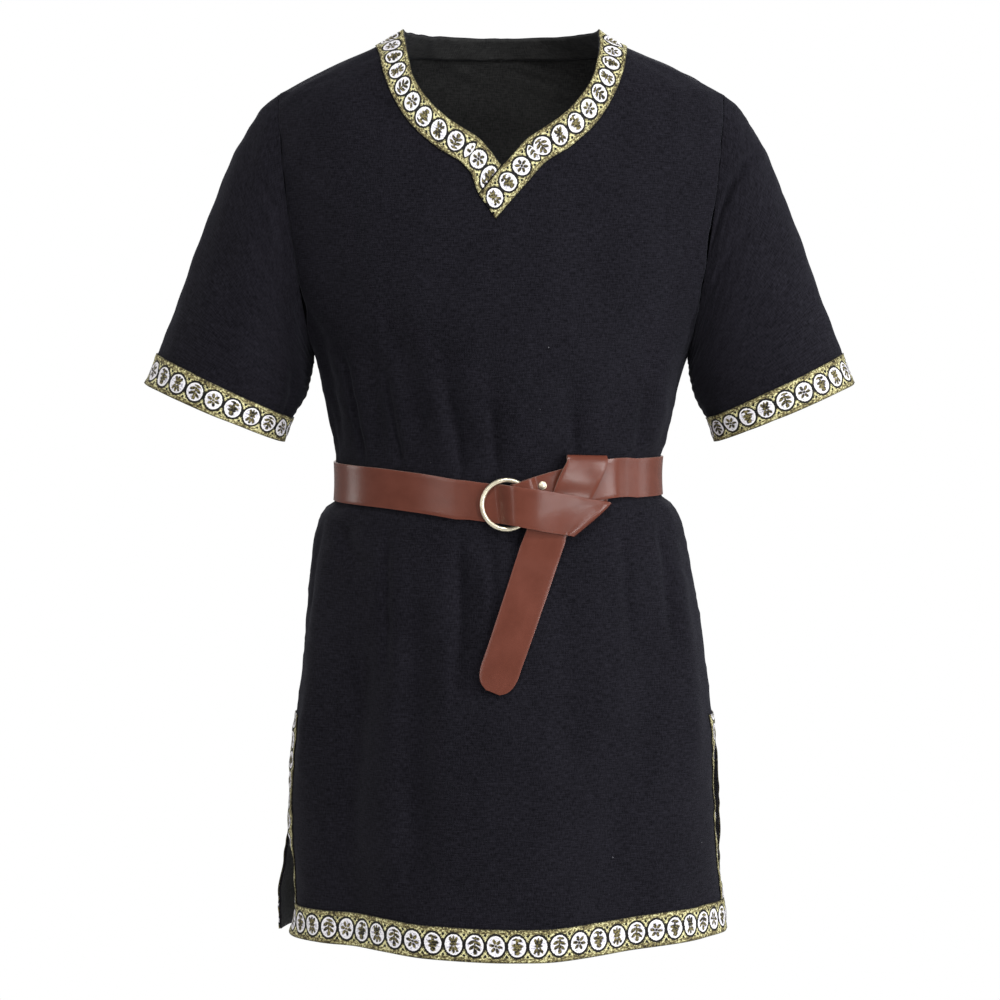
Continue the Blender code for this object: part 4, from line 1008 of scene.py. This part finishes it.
def smooth_through(rows, steps):
    """Rows on a smooth curve through the given ones."""
    rows = np.array(rows)
    ends = np.concatenate((2 * rows[:1] - rows[1:2], rows, 2 * rows[-1:] - rows[-2:-1]))
    out = []
    for i in range(1, len(ends) - 2):
        a, b, c, d = ends[i - 1:i + 3]
        for t in np.arange(steps) / steps:
            out.append(0.5 * (2 * b + (c - a) * t + (2 * a - 5 * b + 4 * c - d) * t ** 2
                              + (3 * b - a - 3 * c + d) * t ** 3))
    out.append(rows[-1])
    return np.array(out)


def neck_strip(side):
    """Points of one strip, a row for each step from the centre back to its end at the V."""
    share = np.linspace(0.0, 1.0, RIBBON_COLUMNS)
    rows = []
    for turn in np.linspace(179.8, 91.0, BACK_ROWS):
        top = BACK_EDGE * float(ease((abs(turn) - 91.0) / 20.0))
        rows.append(cloth(side * turn, top + below_neck(side * turn) * share))
    pairs = []
    for inner, inner_z, outer, outer_z in NECK_STRIP:
        shift = NECK_SHIFT * float(ease(inner_z / NECK_SHIFT_FULL))
        pairs.append((shift + side * inner, inner_z, shift + side * outer, outer_z))
    run = np.array(V_POINT) - np.array(V_OVER_CORNER)
    off = np.array((-run[1], run[0])) / np.linalg.norm(run) * V_UNDER_OFF
    if side == 1:
        straight = [(*V_POINT, *V_OVER_OUTER), (*V_OVER_CORNER, *V_OVER_TIP)]
    else:
        straight = [(*(np.array(V_POINT) + off), *(np.array(V_OVER_CORNER) + off))]
    smooth = smooth_through(pairs, PAIR_STEPS)
    for corner in straight:
        smooth = np.concatenate((smooth, np.linspace(smooth[-1], corner, STRAIGHT_STEPS + 1)[1:]))
    for inner_x, inner_z, outer_x, outer_z in smooth:
        rows.append(front_place(inner_x + (outer_x - inner_x) * share,
                                inner_z + (outer_z - inner_z) * share))
    grid = np.array(rows)
    return grid if side == 1 else grid[:, ::-1]


for side, layer in ((-1, "under"), (1, "over")):
    trims["back"].append(ribbon("ribbon_neck_" + layer, neck_strip(side), True,
                                "neck_trim_" + layer, start=0.005 - 0.004 * side,
                                lift=NECK_LIFT, mitre=MITRE_ROW))


# Belt: one strap of smooth reddish brown leather, 38 mm wide and 2.4 mm thick, cut clean and
# left unstitched. One end is folded round the ring and riveted; the other passes through the
# ring, folds back behind, comes over the top and hangs down under itself in a half hitch.

STRAP = 0.0024
STRAP_WIDTH = 0.0380
STRAP_GAP = 0.0008
STRAP_COLUMNS = 11
LEATHER_DARK = (0.108, 0.029, 0.017, 1.0)
LEATHER = (0.128, 0.036, 0.022, 1.0)
LEATHER_PALE = (0.150, 0.044, 0.028, 1.0)
CUT_EDGE = (0.420, 0.260, 0.210, 1.0)
CUT_EDGE_DARK = (0.200, 0.100, 0.075, 1.0)
PORE = 0.0007
# girth from the centre front, height and distance out in millimetres, lean in degrees, and length
# of the row across the strap in millimetres
ATTACHED_END = (
    (56, -453.6, 1.7, 106, 38), (40, -458.3, 1.7, 106, 38), (29, -461.6, 1.7, 103, 37.5),
    (19.8, -464.3, 1.7, 101, 37), (16.9, -465.1, 2.9, 101, 37), (15.7, -465.4, 5.8, 101, 37),
    (16.9, -465.1, 8.8, 101, 37), (19.8, -464.3, 10, 101, 37), (31.5, -460.8, 10.4, 103, 37.5),
    (35, -459.8, 8.8, 105, 38), (37.6, -459, 6, 105, 38), (39.8, -458.4, 4.9, 105, 38),
    (50, -455.3, 4.9, 105, 38), (61.4, -452, 4.9, 105, 38), (77, -448.2, 4.9, 103, 38),
    (93, -444.8, 5, 101, 38), (106, -442.9, 5.1, 98, 38), (116, -442, 4.9, 94, 38),
    (125, -441.7, 3.5, 91, 38), (134, -441.7, 2.2, 90, 38))
FRONT_WRAP = (
    (-30, -462.3, 1.7, 97, 38), (-15, -464.3, 1.7, 97, 38), (-4.5, -465.6, 1.7, 96, 38),
    (-1, -465.8, 2, 96, 38), (2, -466.1, 3.6, 95, 38), (4.5, -466.3, 5.8, 95, 38),
    (7, -466.6, 8.2, 94, 38), (9.8, -467, 10.5, 93, 38), (13, -467.5, 12.2, 92, 38),
    (16.5, -468.1, 13.1, 91, 38), (21, -468.9, 13.4, 90, 38.2), (29, -470.3, 13.4, 88, 38.4),
    (36, -471.5, 13, 86, 38.6), (45.8, -473.4, 11.9, 84, 39), (55, -475, 11.2, 79, 38.8),
    (62.5, -476.3, 11, 73, 38.8), (69, -477.6, 10.9, 64, 40), (74.8, -478.7, 10.8, 55, 41),
    (83.6, -480.6, 10.8, 38.6, 50), (87.7, -481.1, 9.5, 38.6, 50), (90.1, -480.8, 6.1, 38.6, 48),
    (90.4, -479, 2.8, 38.6, 45), (91.9, -472.6, 1.7, 33, 46), (92.9, -466, 1.7, 24, 42),
    (92.5, -459, 1.7, 12, 39.3), (91.2, -449, 1.7, 2, 38.3), (89.5, -439, 1.7, -2, 39),
    (87.8, -431, 1.7, -2, 40), (86.2, -424, 1.8, -1.5, 40.5), (85.8, -421.6, 2.8, -1.5, 40.5),
    (85.3, -420.6, 5, -1.5, 40.5), (84.9, -422.2, 7.2, -1.5, 40.5), (84.2, -425.6, 9.1, -2, 40.5),
    (82, -430, 10.4, -3, 40.5), (79.5, -435, 11, -4, 40.5), (75.2, -445, 10.5, -6, 40),
    (70.8, -457, 8, -7, 38.5), (66.5, -467, 7.9, -8, 36.5), (60, -484, 7.7, -12, 34.5),
    (46.8, -491, 7.5, -14, 36.2), (43.3, -499, 6.8, -17, 37.5))
TAIL = (
    (41.9, -509, 4.5, -18, 39.5), (38.1, -520, 2.7, -19, 39.4), (33.9, -532, 2.2, -19, 39.2),
    (27.5, -550.5, 2, -19, 38.8), (19.8, -572.6, 2, -19, 38.2), (12.2, -594.6, 2, -19, 37.6),
    (4.5, -616.7, 2, -19, 37.1), (1, -627, 2, -19, 36.9), (-1.8, -635, 2, -20, 33.5),
    (-4, -641, 2, -21, 26), (-5.2, -645, 2, -22, 14))
STRAP_UNITS = (MM, MM, MM, 1.0, MM)     # of the tables' columns
WAIST_START = 0.1450
WAIST_END = -0.0400
WAIST_ROWS = 180
ROW_STEPS = 4
# painted highlight: the strap's grain face is painted paler in a band along both long edges
EDGE_HIGHLIGHT_START = STRAP_WIDTH / 2 - 0.0016
EDGE_HIGHLIGHT_SOFT = 0.0009
CLOUD_STEPS = (0.022, 0.016)

brown_leather, tree, shader = finish("brown_leather", Specular_IOR_Level=0.33)
place = cut_place(tree)
cloud = noise(place, CLOUD_STEPS, 4.0)
fine_grain = noise(place, (PORE * 1.4, PORE), 3.0)
tone = ramp(cloud * 0.8 + fine_grain * 0.2,
            (0.24, LEATHER_DARK), (0.50, LEATHER), (0.80, LEATHER_PALE))
# painted highlight along the strap's long edges: the grain face turns paler there
edge_highlight = beyond(abs(place[1]), EDGE_HIGHLIGHT_START, EDGE_HIGHLIGHT_SOFT)
pores = node(tree, "TexVoronoi", "Distance", Scale=1.0, Vector=at_scale(place, (PORE, PORE)))
dress(shader, Base_Color=blend(edge_highlight * 0.55, tone, LEATHER_PALE), Roughness=cloud * 0.05 + 0.23,
      Normal=bump(pores * 0.8 + fine_grain, 0.30, 0.00014))

cut_edge, tree, shader = finish("leather_cut_edge", Roughness=0.55, Specular_IOR_Level=0.4)
fibre = node(tree, "TexNoise", "Fac", Scale=900.0, Detail=3.0)
dress(shader, Base_Color=ramp(fibre, (0.35, CUT_EDGE_DARK), (0.62, CUT_EDGE)),
      Normal=bump(fibre, 0.4, 0.0001))

waist_turns = np.linspace(0.0, 180.0, 721)
waist_lengths = run_along(body(waist_turns, BELT_LEVEL))


def waist_angle(girth):
    """The body's angle at a distance along the belt from the centre front."""
    return np.sign(girth) * np.interp(np.abs(girth), waist_lengths, waist_turns)


def over_waist(girth, z, height):
    """Points in front of the waist, placed by their girth along the belt."""
    angle = waist_angle(girth)
    base = body(angle, BELT_LEVEL)
    ahead = body(angle + TURN_STEP, BELT_LEVEL) - body(angle - TURN_STEP, BELT_LEVEL)
    out = np.stack((ahead[..., 1], -ahead[..., 0], 0.0 * girth), axis=-1)
    out = out / np.linalg.norm(out, axis=-1, keepdims=True)
    flare = np.maximum(0.0, ((body(angle, z) - base) * out).sum(axis=-1))
    return np.stack((base[..., 0], base[..., 1], z), axis=-1) + out * (height + flare)[..., None]


def over_skirt(girth, z, height):
    """Points in front of the skirt, below a place on the belt."""
    x = body(waist_angle(girth), BELT_LEVEL)[..., 0]
    half, _, shift = section(z, "front")
    angle = lean_to(x - shift, half)
    clear = fold_depth(angle, z).min()
    return body(angle, z) + outward(angle, z) * (height - clear)[..., None]


def strap_rows(rows, over):
    """Points of the strap, a row for each row of its table, smoothly between them."""
    rows = smooth_through(rows, ROW_STEPS) * STRAP_UNITS
    girth, z, out, lean, length = [column[:, None] for column in rows.T]
    off = np.linspace(-0.5, 0.5, STRAP_COLUMNS)[None, :] * length
    lean = np.radians(lean)
    return over(girth + off * np.cos(lean), z + off * np.sin(lean), out + 0.0 * off)


waist_run = wrap(np.linspace(waist_angle(WAIST_START), 360.0 + waist_angle(WAIST_END),
                             WAIST_ROWS))[:, None]
belt_level = read(BELT_LINE, "z", waist_run)
off_centre = np.linspace(-0.5, 0.5, STRAP_COLUMNS)[None, :] * STRAP_WIDTH
belt_rows = belt_level + off_centre
round_waist = (body(waist_run + 0.0 * belt_rows, belt_rows)
               + outward(waist_run, belt_level) * (STRAP_GAP + STRAP / 2))
strap = np.concatenate((strap_rows(ATTACHED_END, over_waist), round_waist,
                        strap_rows(FRONT_WRAP, over_waist), strap_rows(TAIL, over_skirt)))
strap_run = run_along(strap[:, STRAP_COLUMNS // 2])[:, None]
strap_uv = np.stack(np.broadcast_arrays(strap_run, off_centre), axis=2)
leather_belt = piece_of("leather_belt", strap, strap_uv, grid_faces(*strap.shape[:2]),
                        [brown_leather, cut_edge], "belt_strap", wall=STRAP,
                        edge=1)
leather_belt.modifiers["wall"].offset = 0.0
softened = leather_belt.modifiers.new("worn_edges", "BEVEL")
softened.width = 0.00045
softened.segments = 2
softened.limit_method = "ANGLE"
softened.angle_limit = math.radians(50.0)


# Ring and rivet of the belt: a cast ring of round wire, 52 mm across, and a small domed cap rivet
# with a rolled rim, both in pale brass, polished and a little scratched.

RING_GIRTH = 0.0078
RING_LEVEL = -0.4666
RING_OUT = 0.0054
RING_WIRE = 0.0044
RING_OUTER = 0.0516
RIVET_PLACE = (0.0415, -0.4482)
RIVET_OUT = 0.0049 + STRAP / 2 + 0.0005   # the middle of the fold's outer layer, and its face
RIVET_DIAMETER = 0.0080
RIVET_PROFILE = ((0.00, 1.00), (0.30, 0.97), (0.55, 0.84), (0.74, 0.62), (0.84, 0.40), (0.87, 0.30),
                 (0.92, 0.36), (0.97, 0.28), (1.00, 0.10), (0.99, 0.0), (0.0, 0.0))
RIVET_HEIGHT = 0.0021
RING_SIDES = 96
WIRE_SIDES = 20
RIVET_SIDES = 40
BRASS_DARK = (0.80, 0.70, 0.48, 1.0)
BRASS_PALE = (0.96, 0.90, 0.72, 1.0)

pale_brass, tree, shader = finish("pale_brass", Metallic=0.80)
shine = node(tree, "TexNoise", "Fac", Scale=160.0, Detail=3.0)
scratch = node(tree, "TexNoise", "Fac", Scale=900.0, Detail=2.0)
dress(shader, Base_Color=ramp(shine, (0.30, BRASS_DARK), (0.62, BRASS_PALE)),
      Roughness=scratch * 0.18 + 0.24, Normal=bump(scratch, 0.12, 0.0001))


def turned(name, profile, sides, girth, z, out, closed, solid):
    """A piece turned round its axis, which stands square on the waist."""
    radius, height = np.array(profile).T
    turn = np.linspace(0.0, 2 * math.pi, sides, endpoint=False)
    local = np.stack((radius[:, None] * np.cos(turn), radius[:, None] * np.sin(turn),
                      height[:, None] + 0.0 * turn[None, :]), axis=2)
    centre = over_waist(np.array(girth), np.array(z), np.array(out))
    away = over_waist(np.array(girth), np.array(z), np.array(out + MM)) - centre
    away = away / np.linalg.norm(away)
    side = np.cross(away, (0.0, 0.0, 1.0))
    points = centre + local @ np.array((side, np.cross(side, away) * -1.0, away))
    rows = len(profile)
    faces = [tuple(n % (rows * sides) for n in face)
             for face in grid_faces(rows + closed, sides, closed=True)]
    mesh = bpy.data.meshes.new(name)
    mesh.from_pydata(points.reshape(-1, 3).tolist(), [], faces)
    mesh.materials.append(pale_brass)
    mesh.shade_smooth()
    mesh.validate()
    made = placed(name, mesh)
    made.modifiers.new("closed", "WELD").merge_threshold = 0.00001
    return in_frame(made, solid)


wire = [((RING_OUTER - RING_WIRE) / 2 + RING_WIRE / 2 * math.cos(a), RING_WIRE / 2 * math.sin(a))
        for a in np.linspace(0.0, 2 * math.pi, WIRE_SIDES, endpoint=False)]
turned("brass_ring", wire, RING_SIDES, RING_GIRTH, RING_LEVEL, RING_OUT, True, "belt_ring")
cap = [(radius * RIVET_DIAMETER / 2, height * RIVET_HEIGHT) for radius, height in RIVET_PROFILE]
turned("brass_rivet", cap, RIVET_SIDES, *RIVET_PLACE, RIVET_OUT, False, "belt_rivet")
